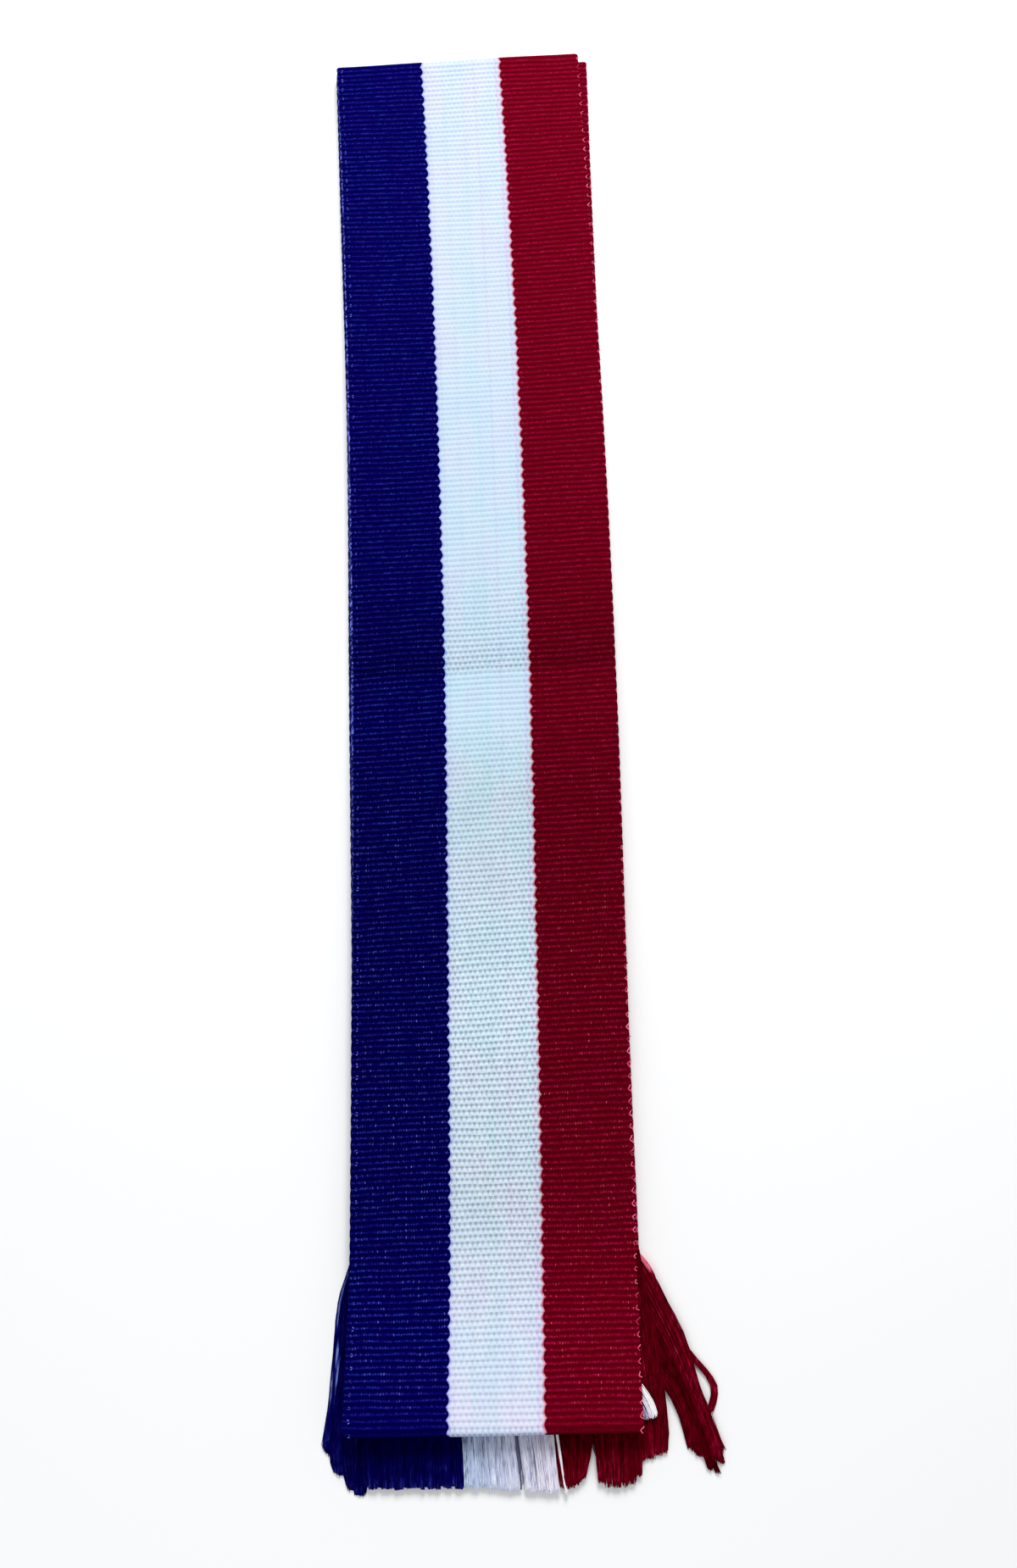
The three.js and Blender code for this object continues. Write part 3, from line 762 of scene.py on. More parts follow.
even_line = add(tree, "ShaderNodeMath", [1.0, odd_line], operation="SUBTRACT")
on_bulge = add(tree, "ShaderNodeMath", [even_line, chance_of(line_row, 11.0)], operation="MULTIPLY")
dot_shape = add(tree, "ShaderNodeMath", [fades["dot_along"], on_bulge], operation="MULTIPLY")
border_dots = []
for middle in (BLUE_WIDTH - BORDER_DOT_INSET, BLUE_WIDTH + WHITE_WIDTH + BORDER_DOT_INSET):
    dot_across = add(tree, "ShaderNodeMapRange", [how_far(across, middle), DOT_REACH, DOT_CORE],
                     interpolation_type="SMOOTHSTEP")
    border_dots.append(add(tree, "ShaderNodeMath", [dot_shape, dot_across], operation="MULTIPLY"))
blue_dots, red_dots = border_dots
dash_place = add(tree, "ShaderNodeMath", [phase, DASHES_PER_RIB], operation="MULTIPLY")
dash_number = add(tree, "ShaderNodeMath", [dash_place], operation="FLOOR")
rim_dash = add(tree, "ShaderNodeValToRGB", [chance_of(dash_number, 3.0)], stops=[(0.45, 0.04), (0.9, 1.0)])
on_rim = add(tree, "ShaderNodeMapRange", [across, RIM_LINE, RIM_LINE - RIM_FADE],
             interpolation_type="SMOOTHSTEP")
blue_rim = product(tree, on_rim, rim_dash, along_look("rim"))
print("the dots sit", BORDER_DOT_INSET, "mm from the white stripe")

# %% [markdown]
# A dark stripe is laid up in the order of its light: the furrow, the body of the rib, the line of light in
# two hues that change in patches, and the sparkles and dots on top. Blue and red differ only in their
# shades, so one function makes both. The stripes are then put side by side.

# %% Dyed stripes
SPARK_LEVEL = 0.8
DOT_LEVEL = 0.16


def dyed_stripe(furrow, body, line, other_line, glint, dots):
    """A dark stripe's colour with painted light and shade: furrow, body, two shades of the line of light,
    sparkle.
    """
    hues = add(tree, "ShaderNodeValToRGB", [patches(16.0, 9.0, 17.0)], stops=[(0.4, 0.0), (0.6, 1.0)])
    line_hue = add(tree, "ShaderNodeMix", {0: hues, 6: linear(line), 7: linear(other_line)}, data_type="RGBA")
    colour = add(tree, "ShaderNodeMix", {0: rib_glow, 6: linear(furrow), 7: linear(body)}, data_type="RGBA")
    lit_line = add(tree, "ShaderNodeMath", [fades["line_core"], dash], operation="MULTIPLY")
    colour = add(tree, "ShaderNodeMix", {0: lit_line, 6: colour, 7: line_hue}, data_type="RGBA")
    # The table's light level paints the stripe lighter or darker along the run.
    gain = add(tree, "ShaderNodeMath", [painted_light_level, 2.0], operation="MULTIPLY")
    bright = add(tree, "ShaderNodeVectorMath", {0: colour, "Scale": gain}, operation="SCALE")
    lit_spark = add(tree, "ShaderNodeMath", [spark, SPARK_LEVEL], operation="MULTIPLY")
    lit_dots = add(tree, "ShaderNodeMath", [dots, DOT_LEVEL], operation="MULTIPLY")
    lit = add(tree, "ShaderNodeMath", [lit_spark, lit_dots], operation="MAXIMUM")
    return add(tree, "ShaderNodeMix", {0: lit, 6: bright, 7: linear(glint)}, data_type="RGBA")


blue_colour = dyed_stripe("010036", "040050", "222284", "1a2a88", "7a84e6", blue_dots)
blue_colour = add(tree, "ShaderNodeMix", {0: blue_rim, 6: blue_colour, 7: linear("7c8aff")}, data_type="RGBA")
red_colour = dyed_stripe("4b000b", "660016", "940a3e", "8e0838", "ee5a70", red_dots)
left_of_red = add(tree, "ShaderNodeMix", {0: past_blue, 6: blue_colour, 7: white_colour}, data_type="RGBA")
cloth_colour = add(tree, "ShaderNodeMix", {0: before_red, 6: red_colour, 7: left_of_red}, data_type="RGBA")
tree.links.new(cloth_colour, cloth_shader.inputs["Base Color"])
print("the cloth's material has", len(tree.nodes), "nodes")

# %% [markdown]
# The relief of the single floats is a tenth of a millimetre, far below what the mesh can hold, so it is
# bump.

# %% Bump of the floats
FLOAT_RELIEF = 0.1

float_relief = add(tree, "ShaderNodeBump", {
    "Strength": 0.5, "Distance": FLOAT_RELIEF * MM, "Height": float_light,
})
tree.links.new(float_relief, cloth_shader.inputs["Normal"])
band = new_piece("ribbed_band", band_mesh, cloth)
print("made", band.name)

# %% [markdown]
# The yarn of the fringe
#
# Where the weaving stops, the warp hangs loose: hundreds of fine, silky threads for each stripe. They cling
# together in flat locks that lean and part. Hair particles could make them, but the export keeps only
# meshes, so the threads are curves made by Geometry Nodes. The CAD model gives each clump's outer form. It
# is sliced at steps down its length, and guide lines are drawn through the slices, evenly across.


# %% Slices through a CAD clump
def slice_of(node, along):
    """Left, right, base and top of a node's solid where a plane across the sash cuts it, in mm."""
    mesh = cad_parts[node].data
    points = np.array([v.co for v in mesh.vertices]) / MM
    edges = np.array([e.vertices for e in mesh.edges])
    start, stop = points[edges[:, 0]], points[edges[:, 1]]
    crosses = (start[:, 1] - along) * (stop[:, 1] - along) < 0
    start, stop = start[crosses], stop[crosses]
    share = ((along - start[:, 1]) / (stop[:, 1] - start[:, 1]))[:, None]
    cut = start + (stop - start) * share
    return cut[:, 0].min(), cut[:, 0].max(), cut[:, 2].min(), cut[:, 2].max()


FRINGE_ROOT = BAND_END - 0.3
ROOT_IN_CLOTH = -1.6
SLICE_COUNT = 14


def outline_of(node, lead=()):
    """Rows of how far down, left, right, base and top of a clump. A lead gives the first rows."""
    low, high = (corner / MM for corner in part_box(node))
    places = np.linspace(high.y - 0.6, low.y + 0.6, SLICE_COUNT)
    slices = [(FRINGE_ROOT - y, *slice_of(node, y)) for y in places]
    lead = list(lead) or [(ROOT_IN_CLOTH, *slices[0][1:])]
    return np.array([*lead, *(row for row in slices if row[0] > lead[-1][0])])


def section_at(outline, down, straight_from):
    """Left, right, base and top of a clump at a depth. Past straight_from it carries straight on."""
    depths = outline[:, 0]
    within = np.array([np.interp(min(down, straight_from), depths, outline[:, k]) for k in range(1, 5)])
    before = np.array([np.interp(straight_from - 8, depths, outline[:, k]) for k in range(1, 5)])
    past = max(0.0, down - straight_from) / 8
    slope = (within - before) * np.array([1, 1, 0, 0])
    return within + past * slope


print("a slice of the tassel", [round(x, 1) for x in outline_of("lower_fringe_red_tassel")[5]])

# %% [markdown]
# The Geometry Nodes tree takes the guide lines, a mesh of edges, and turns each line into many threads. It
# copies a guide, moves each copy by its own random offset, adds a soft wave that neighbours share and a
# fine crimp that they don't, trims the copies to uneven lengths, and gives them a three-sided section. A
# few threads stray further than the rest. One tree serves every clump. Its first nodes copy the guides and
# give each copy three things to keep: where it lies, a random number of its own, and its number.

# %% Thread tree
THREAD_SIDES = 3
STRAY_SHARE = 0.02


def tree_inputs(tree, *rows):
    """Named inputs of a Geometry Nodes tree, from rows of a name, a kind and a value, if it has one."""
    made = {}
    for name, kind, *value in rows:
        made[name] = tree.interface.new_socket(name=name, in_out="INPUT", socket_type="NodeSocket" + kind)
        if value:
            made[name].default_value = value[0]
    return made


def end_tree(tree, geometry, yarn):
    """The end of a tree: a real mesh in place of instances, its material and smooth shading."""
    realized = add(tree, "GeometryNodeRealizeInstances", [geometry])
    dressed = add(tree, "GeometryNodeSetMaterial", {"Geometry": realized, "Material": yarn})
    smooth = add(tree, "GeometryNodeSetShadeSmooth", {"Geometry": dressed})
    add(tree, "NodeGroupOutput", [smooth])


threads = bpy.data.node_groups.new("fringe_threads", "GeometryNodeTree")
thread_inputs = tree_inputs(
    threads, ("Guides", "Geometry"), ("Threads per guide", "Int", 12),
    ("Spread", "Vector", (0.001, 0.0, 0.0004)), ("Gather at tip", "Float", 0.1),
    ("Wave", "Float", 0.0006), ("Crimp", "Float", 0.00025),
    ("Uneven length", "Float", 0.03), ("Thread radius", "Float", 0.00013), ("Seed", "Int", 1),
    ("Yarn", "Material"))
threads.interface.new_socket(name="Threads", in_out="OUTPUT", socket_type="NodeSocketGeometry")
given = add(threads, "NodeGroupInput").node.outputs
guide_lines = add(threads, "GeometryNodeMeshToCurve", [given["Guides"]])
copies = add(threads, "GeometryNodeDuplicateElements", {
    "Geometry": guide_lines, "Amount": given["Threads per guide"],
}, domain="SPLINE")
index = add(threads, "GeometryNodeInputIndex")
lie = add(threads, "FunctionNodeRandomValue", {
    0: (-1.0, -1.0, -1.0), 1: (1.0, 1.0, 1.0), "ID": index, "Seed": given["Seed"],
}, data_type="FLOAT_VECTOR")
chance_seed = add(threads, "ShaderNodeMath", [given["Seed"], 7.0], operation="ADD")
chance = add(threads, "FunctionNodeRandomValue", {"ID": index, "Seed": chance_seed}, data_type="FLOAT")
number = add(threads, "ShaderNodeMath", [index, 0.0], operation="ADD")
kept = add(threads, "GeometryNodeCaptureAttribute", {
    0: copies, "Lie": lie, "Chance": chance, "Number": number,
}, keeps=["Lie", "Chance", "Number"], domain="CURVE")
thread_lie, thread_chance, thread_number = (kept.node.outputs[name] for name in ("Lie", "Chance", "Number"))
kept = add(threads, "GeometryNodeCaptureAttribute", {
    0: kept, "Down": add(threads, "GeometryNodeSplineParameter"),
}, keeps=["Down"], domain="POINT")
down_thread = kept.node.outputs["Down"]
print("thread tree starts with", len(thread_inputs), "inputs")

# %% [markdown]
# A thread is moved by three offsets. The first is its lie in the lock, which closes up towards the tip. The
# second is a wave of about 14 mm that neighbours share, and it grows down the thread. The third is the crimp
# that the weave left in it, in bends of about 5 mm, and there each thread goes its own way.

# %% Moving the threads
WAVE_PER_METRE, WAVE_OWN_PART = 70.0, 0.003
CRIMP_PER_METRE, CRIMP_OWN_PART = 210.0, 0.05


def sway(own_part, scale, detail, flatness, size):
    """Offsets by a noise. The own part says how much of it a thread doesn't share with its neighbours."""
    own_place = add(threads, "ShaderNodeVectorMath", [thread_lie, (own_part,) * 3, place],
                    operation="MULTIPLY_ADD")
    noise = add(threads, "ShaderNodeTexNoise", {"Vector": own_place, "Scale": scale, "Detail": detail})
    noise = noise.node.outputs["Color"]
    centred = add(threads, "ShaderNodeVectorMath", [noise, (0.5, 0.5, 0.5)], operation="SUBTRACT")
    flat = add(threads, "ShaderNodeVectorMath", [centred, flatness], operation="MULTIPLY")
    return add(threads, "ShaderNodeVectorMath", {0: flat, "Scale": size}, operation="SCALE")


gathered = add(threads, "ShaderNodeMath", [down_thread, given["Gather at tip"]], operation="MULTIPLY")
opened = add(threads, "ShaderNodeMath", [1.0, gathered], operation="SUBTRACT")
guide_room = add(threads, "GeometryNodeInputNamedAttribute", {"Name": "guide_room"}, data_type="FLOAT")
room = add(threads, "ShaderNodeCombineXYZ", [guide_room, 1.0, 1.0])
free_lie = add(threads, "ShaderNodeVectorMath", [thread_lie, room], operation="MULTIPLY")
sideways = add(threads, "ShaderNodeVectorMath", [free_lie, given["Spread"]], operation="MULTIPLY")
offset = add(threads, "ShaderNodeVectorMath", {0: sideways, "Scale": opened}, operation="SCALE")
place = add(threads, "GeometryNodeInputPosition")
strays = add(threads, "ShaderNodeMath", [thread_chance, 1.0 - STRAY_SHARE], operation="GREATER_THAN")
own_wave = add(threads, "ShaderNodeMath", [strays, 2.0, 1.0], operation="MULTIPLY_ADD")
wave_size = product(threads, given["Wave"], down_thread, own_wave)
wave = sway(WAVE_OWN_PART, WAVE_PER_METRE, 1.5, (2.0, 0.0, 0.5), wave_size)
looser = add(threads, "ShaderNodeMath", [down_thread, 1.4, 0.6], operation="MULTIPLY_ADD")
crimp_size = add(threads, "ShaderNodeMath", [given["Crimp"], looser], operation="MULTIPLY")
crimp = sway(CRIMP_OWN_PART, CRIMP_PER_METRE, 1.0, (2.0, 0.0, 0.8), crimp_size)
moved = add(threads, "ShaderNodeVectorMath", [offset, wave], operation="ADD")
moved = add(threads, "ShaderNodeVectorMath", [moved, crimp], operation="ADD")
laid = add(threads, "GeometryNodeSetPosition", {"Geometry": kept, "Offset": moved})
print("waves of", round(1000 / WAVE_PER_METRE), "mm, crimps of", round(1000 / CRIMP_PER_METRE), "mm")

# %% [markdown]
# The copies are cut back by chance, so that the fringe has an uneven end, and a small three-sided section is
# swept along each. Two named attributes carry the thread's random number and the place down it to the
# material.

# %% Trimming and thickening the threads
cut_back = add(threads, "ShaderNodeMath", [thread_chance, given["Uneven length"]], operation="MULTIPLY")
own_end = add(threads, "ShaderNodeMath", [1.0, cut_back], operation="SUBTRACT")
trimmed = add(threads, "GeometryNodeTrimCurve", {"Curve": laid, "End": own_end})
section = add(threads, "GeometryNodeCurvePrimitiveCircle", {
    "Resolution": THREAD_SIDES, "Radius": given["Thread radius"],
})
corner_number = add(threads, "ShaderNodeMath", [add(threads, "GeometryNodeInputIndex"), 0.0], operation="ADD")
section = add(threads, "GeometryNodeCaptureAttribute", {0: section, "Side": corner_number},
              keeps=["Side"], domain="POINT")
side = section.node.outputs["Side"]
marked = add(threads, "GeometryNodeCurveToMesh", {
    "Curve": trimmed, "Profile Curve": section, "Fill Caps": True,
})
for label, value in (("thread_chance", thread_chance), ("thread_down", down_thread)):
    marked = add(threads, "GeometryNodeStoreNamedAttribute", {
        "Geometry": marked, "Name": label, "Value": value,
    }, data_type="FLOAT", domain="POINT")
print("a thread has", THREAD_SIDES, "sides")

# %% [markdown]
# For baking colours into a picture, each thread gets a small patch of its own in a map named OFBake. The
# patches stand in a square grid. A thread runs down its patch, and its sides lie next to each other at a
# slant.

# %% A patch of the baked map for each thread
SIDE_STEP, SIDE_START = 0.32, 0.18
SIDE_SLANT, PATCH_START, PATCH_LENGTH = 0.06, 0.08, 0.7

domain_size = add(threads, "GeometryNodeAttributeDomainSize", [copies], component="CURVE").node.outputs
grid_root = add(threads, "ShaderNodeMath", [domain_size["Spline Count"]], operation="SQRT")
grid_size = add(threads, "ShaderNodeMath", [grid_root], operation="CEIL")
rows_before = add(threads, "ShaderNodeMath", [thread_number, grid_size], operation="DIVIDE")
grid_row = add(threads, "ShaderNodeMath", [rows_before], operation="FLOOR")
row_start = add(threads, "ShaderNodeMath", [grid_row, grid_size], operation="MULTIPLY")
grid_column = add(threads, "ShaderNodeMath", [thread_number, row_start], operation="SUBTRACT")
in_patch = add(threads, "ShaderNodeMath", [side, SIDE_STEP, SIDE_START], operation="MULTIPLY_ADD")
side_slant = add(threads, "ShaderNodeMath", [side, SIDE_SLANT, PATCH_START], operation="MULTIPLY_ADD")
down_patch = add(threads, "ShaderNodeMath", [down_thread, PATCH_LENGTH, side_slant], operation="MULTIPLY_ADD")
patch_places = []
for cell, inside in ((grid_column, in_patch), (grid_row, down_patch)):
    patch_place = add(threads, "ShaderNodeMath", [cell, inside], operation="ADD")
    patch_places.append(add(threads, "ShaderNodeMath", [patch_place, grid_size], operation="DIVIDE"))
patch = add(threads, "ShaderNodeCombineXYZ", patch_places)
mapped = add(threads, "GeometryNodeStoreNamedAttribute", {
    "Geometry": marked, "Name": "OFBake", "Value": patch,
}, data_type="FLOAT2", domain="CORNER")
end_tree(threads, mapped, given["Yarn"])
print("thread tree has", len(threads.nodes), "nodes")

# %% [markdown]
# The yarn's finish
#
# Loose rayon warp is silkier than the woven cloth, because nothing breaks up its shine. A thread's shade
# comes from its own random number, from its lock, and from a fine noise of about 1 mm across and 4 mm
# along, because a crimped thread catches the light in short bits. Threads at the edge of a lock lie deeper
# and are painted darker, as painted shade, and tips are a little lighter. The white yarn is painted darker
# and bluer on the left and lighter and warmer on the right, as painted shade and light.

# %% Yarn materials
MOTTLE_PER_METRE = (900.0, 230.0, 500.0)
GLOSS_SHADE = 1.6
SHADE_PLACES = (0.0, 0.4 / GLOSS_SHADE, 0.75 / GLOSS_SHADE, 1.0 / GLOSS_SHADE, 1.0)


def yarn_material(name, shades, right_shades=None, tip_gain=0.2):
    """Silky yarn in five shades from deep to glossy. The shades may change from left to right."""
    material, tree, shader = new_material(name, roughness=0.5, specular=0.006)
    chance, lock_shade, down = (
        add(tree, "ShaderNodeAttribute", attribute_name=label).node.outputs["Fac"]
        for label in ("thread_chance", "lock_shade", "thread_down"))
    place = add(tree, "ShaderNodeTexCoord").node.outputs["Object"]
    stretched = add(tree, "ShaderNodeMapping", {0: place, 3: MOTTLE_PER_METRE})
    mottle = add(tree, "ShaderNodeTexNoise", {0: stretched, "Scale": 1.0, "Detail": 2.0})
    mottle = add(tree, "ShaderNodeMath", [mottle, 0.5], operation="SUBTRACT")
    shade = add(tree, "ShaderNodeMath", [mottle, 1.1, 0.28], operation="MULTIPLY_ADD")
    shade = add(tree, "ShaderNodeMath", [chance, 0.5, shade], operation="MULTIPLY_ADD")
    tip = add(tree, "ShaderNodeValToRGB", [down], stops=[(0.94, 0.0), (1.0, tip_gain)])
    for gain in (lock_shade, tip):
        shade = add(tree, "ShaderNodeMath", [shade, gain], operation="ADD")
    shade = add(tree, "ShaderNodeMath", [shade, GLOSS_SHADE], operation="DIVIDE")
    colour = add(tree, "ShaderNodeValToRGB", [shade], stops=list(zip(SHADE_PLACES, shades)))
    if right_shades:
        right_colour = add(tree, "ShaderNodeValToRGB", [shade], stops=list(zip(SHADE_PLACES, right_shades)))
        across = add(tree, "ShaderNodeSeparateXYZ", [place])
        to_right = add(tree, "ShaderNodeMapRange", [across, -10 * MM, 20 * MM])
        colour = add(tree, "ShaderNodeMix", {0: to_right, 6: colour, 7: right_colour}, data_type="RGBA")
    tree.links.new(colour, shader.inputs["Base Color"])
    return material


YARNS = {
    "blue": yarn_material("loose_blue_rayon_warp", ("00002a", "03004a", "09045a", "20268a", "8092e0"),
                          tip_gain=0.28),
    "white": yarn_material("loose_white_rayon_warp", ("5e6888", "c6d4f0", "d8e4fc", "f0f6ff", "ffffff"),
                           ("746e8e", "ece6f8", "f8f2fc", "fffcff", "ffffff")),
    "red": yarn_material("loose_red_rayon_warp", ("320003", "5a000c", "78001c", "a8143e", "f08098")),
}
print("yarns", list(YARNS))

# %% [markdown]
# Each clump is drawn as locks. A lock is a share of the clump's width at its root and at its tip, and it
# hangs down a length in mm. Guide lines are spaced evenly through it, in two rows, one above the other, and
# the tree fills the space between them. A lock is thinner and a little shorter at its edges, and painted
# shade makes it darker there. Some locks get a painted highlight only over a stretch of their length, and
# where a clump comes out under the bottom fold, the fold's shadow is painted on it. Steps are closer near
# the tips, where the fringe is seen past the fold.

# %% Locks of the fringe
GUIDE_SPACING = 1.5
GUIDE_LEVELS = (0.28, 0.72)
GUIDE_STEPS = 13
GUIDE_CHANCE = 0.15
THIN_LOCK = 0.8
EDGE_SHORTER = 0.03
EDGE_THINNER = 0.5
LENGTH_CHANCE = 0.008
LEVEL_SHADE = 0.06
SPREAD_ACROSS = 0.56
SPREAD_UP = 0.2
ALL_LIT = (-10.0, 100.0)
LIT_EDGE = 3.0
FOLD_SHADOW_FROM = 61.5
FOLD_SHADOW_LENGTH = 6.0
rng = np.random.default_rng(84)


def lock(root, tip, hang, shade=0.0, rise=0.0, lit=ALL_LIT):
    """One lock: its shares of the width at the root and the tip, its length, its shade, its height and the
    stretch in mm where it has that shade."""
    return dict(root=root, tip=tip, hang=hang, shade=shade, rise=rise, lit=lit)


def even_locks(count, hangs, overlap=0.15, width=1.0, uneven_shade=0.08):
    """Locks side by side, a little uneven in width. The hangs go from the first lock to the last."""
    borders = np.linspace(0, width, count + 1)
    borders[1:-1] += rng.uniform(-0.22, 0.22, count - 1) / count
    lengths = np.interp(np.linspace(0, 1, count), np.linspace(0, 1, len(hangs)), hangs)
    margin = overlap / count / 2
    spans = [(low - margin, high + margin) for low, high in zip(borders, borders[1:])]
    return [lock(span, span, length, rng.uniform(-uneven_shade, uneven_shade))
            for span, length in zip(spans, lengths + rng.uniform(-0.4, 0.4, count))]


def smoothed(line):
    """The same line with its corners eased. Its ends stay where they are."""
    for _ in range(2):
        line[1:-1, ::2] = (line[:-2, ::2] + 2 * line[1:-1, ::2] + line[2:, ::2]) / 4
    return line


def shade_at(lie, down, fold_shadow):
    """The shade of a lock at a depth. Where a clump comes out under the bottom fold, its shadow is painted
    on.
    """
    outside = max(lie["lit"][0] - down, down - lie["lit"][1], 0.0)
    shade = lie["shade"] * max(0.0, 1 - outside / LIT_EDGE)
    return shade - fold_shadow * float(np.clip(1 - (down - FOLD_SHADOW_FROM) / FOLD_SHADOW_LENGTH, 0, 1))


def guide_lines_mesh(name, outline, locks, straight_from, crowding, painted_parting_shade, fold_shadow):
    """Edges down the locks of a clump. Their points hold their lock's shade and the room for threads."""
    width = float(np.max(outline[:, 2] - outline[:, 1]))
    points, edges, shades, rooms = [], [], [], []
    start = float(outline[0, 0])
    for lie in locks:
        lock_width = width * max(lie[end][1] - lie[end][0] for end in ("root", "tip"))
        columns = max(1 if lock_width < THIN_LOCK else 2, round(lock_width / GUIDE_SPACING))
        rooms.extend([lock_width / columns / GUIDE_SPACING] * columns * len(GUIDE_LEVELS) * GUIDE_STEPS)
        for level in GUIDE_LEVELS:
            for column in range(columns):
                share = (column + 0.5 + rng.uniform(-GUIDE_CHANCE, GUIDE_CHANCE)) / columns
                edge = abs(2 * share - 1)
                hang = lie["hang"] * (1 - EDGE_SHORTER * edge ** 4) * (1 - LENGTH_CHANCE * rng.random())
                # Painted shade darkens the threads at a lock's edges.
                own_shade = LEVEL_SHADE * (level - 0.5) - painted_parting_shade * edge ** 3
                edges.extend((len(points) + k, len(points) + k + 1) for k in range(GUIDE_STEPS - 1))
                line = []
                for step in range(GUIDE_STEPS):
                    down = start + (hang - start) * (1 - (1 - step / (GUIDE_STEPS - 1)) ** crowding)
                    shades.append(own_shade + shade_at(lie, down, fold_shadow))
                    left, right, base, top = section_at(outline, down, straight_from)
                    to_tip = max(0.0, down / hang) ** 1.5
                    low, high = (lie["root"][k] + (lie["tip"][k] - lie["root"][k]) * to_tip for k in (0, 1))
                    up = base + lie["rise"] + level * (1 - EDGE_THINNER * edge ** 2) * (top - base)
                    sideways = left + (low + share * (high - low)) * (right - left)
                    line.append((sideways, FRINGE_ROOT - down, up))
                points.extend(smoothed(np.array(line)))
    mesh = bpy.data.meshes.new(name)
    mesh.from_pydata((np.array(points) * MM).tolist(), edges, [])
    for label, values in (("lock_shade", shades), ("guide_room", rooms)):
        mesh.attributes.new(label, "FLOAT", "POINT").data.foreach_set("value", values)
    return put_in_scene(name, mesh)


def made_plain(source, name):
    """The mesh that an object's modifiers make, as an object of its own."""
    bpy.context.view_layer.update()
    evaluated = source.evaluated_get(bpy.context.evaluated_depsgraph_get())
    mesh = bpy.data.meshes.new_from_object(evaluated)
    mesh.name = name
    source_mesh = source.data
    bpy.data.objects.remove(source)
    bpy.data.meshes.remove(source_mesh)
    print(name, "has", triangle_count(mesh), "triangles")
    return put_in_scene(name, mesh)


def yarn_clump(node, yarn, seed, locks, lead=(), straight_from=76.0, crowding=1.7, per_guide=24, gather=0.06,
               wave=0.5, crimp=0.14, uneven=0.022, painted_parting_shade=0.3, fold_shadow=0.0):
    """The threads of one CAD clump, as one piece that replaces it."""
    name = node.replace("fringe", "threads").replace("tuft", "threads")
    outline = outline_of(node, lead)
    guides = guide_lines_mesh(name + "_guides", outline, locks, straight_from, crowding, painted_parting_shade, fold_shadow)
    height = float(np.mean(outline[:, 4] - outline[:, 3]))
    modifier = guides.modifiers.new("threads", "NODES")
    modifier.node_group = threads
    spread = (GUIDE_SPACING * SPREAD_ACROSS * MM, 0.0, height * SPREAD_UP * MM)
    settings = {
        "Threads per guide": per_guide, "Spread": spread, "Gather at tip": gather,
        "Wave": wave * MM, "Crimp": crimp * MM, "Uneven length": uneven, "Seed": seed, "Yarn": YARNS[yarn],
    }
    for label, value in settings.items():
        modifier[thread_inputs[label].identifier] = value
    piece = made_plain(guides, name)
    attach(piece, "root")
    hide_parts(node)
    return piece


print("locks get", len(GUIDE_LEVELS), "rows of guides,", GUIDE_SPACING, "mm apart, of", GUIDE_STEPS, "points")

# %% [markdown]
# The clumps on top of the pile come first, then the stray tuft, then the lower ones, which show at both
# sides.

# %% Every clump
WHITE_LOCKS = [
    lock((-0.03, 0.055), (-0.025, 0.05), 75.2, -0.06), lock((0.062, 0.13), (0.057, 0.13), 75.6, 0.12),
    lock((0.13, 0.22), (0.135, 0.23), 75.4, 0.0), lock((0.215, 0.29), (0.23, 0.31), 76.0, 0.1),
    lock((0.295, 0.395), (0.315, 0.42), 76.4, 0.04), lock((0.395, 0.455), (0.425, 0.485), 77.0, 0.12),
    # The narrow dark lock in the middle of the clump is painted shadow in its main gap.
    lock((0.46, 0.5), (0.49, 0.545), 76.8, 0.0), lock((0.497, 0.512), (0.545, 0.566), 76.0, -0.9, 0.1),
    lock((0.51, 0.59), (0.61, 0.67), 77.0, 0.12), lock((0.595, 0.665), (0.675, 0.73), 77.4, 0.0),
    lock((0.675, 0.735), (0.74, 0.795), 77.2, 0.12), lock((0.74, 0.805), (0.8, 0.86), 77.6, 0.02),
    lock((0.815, 0.87), (0.865, 0.915), 77.4, 0.1), lock((0.875, 0.93), (0.92, 0.97), 77.6, 0.05),
    lock((0.915, 0.93), (1.03, 1.05), 78.0, 0.3, 0.1),
]
RED_INNER_LOCKS = [
    lock((-0.24, 0.3), (-0.14, 0.3), 76.8, -0.1), lock((0.26, 0.55), (0.28, 0.56), 76.0, -0.03),
    lock((0.52, 0.8), (0.54, 0.82), 75.2, -0.1), lock((0.78, 1.0), (0.8, 1.0), 73.6, 0.0),
]
# The tassel's locks are painted darker in the middle and lighter towards the outer edge, as its light and
# shade, and the last one is a painted highlight near the root.
TASSEL_LOCKS = [
    lock((0.0, 0.24), (0.0, 0.24), 65.8, -0.1), lock((0.14, 0.42), (0.16, 0.42), 67.6, -0.05),
    lock((0.36, 0.46), (0.42, 0.48), 72.2, -0.1), lock((0.4, 0.6), (0.44, 0.62), 70.0, -0.3),
    lock((0.48, 0.58), (0.58, 0.66), 73.2, -0.15), lock((0.54, 0.76), (0.62, 0.82), 69.4, 0.0),
    lock((0.7, 0.88), (0.76, 0.94), 70.2, 0.12), lock((0.8, 0.97), (0.88, 1.02), 67.0, 0.14),
    lock((0.88, 1.0), (0.96, 1.06), 66.0, 0.06, 0.1),
    lock((0.92, 0.99), (0.92, 0.98), 24.0, 1.2, 0.3, (1.0, 4.0)),
]
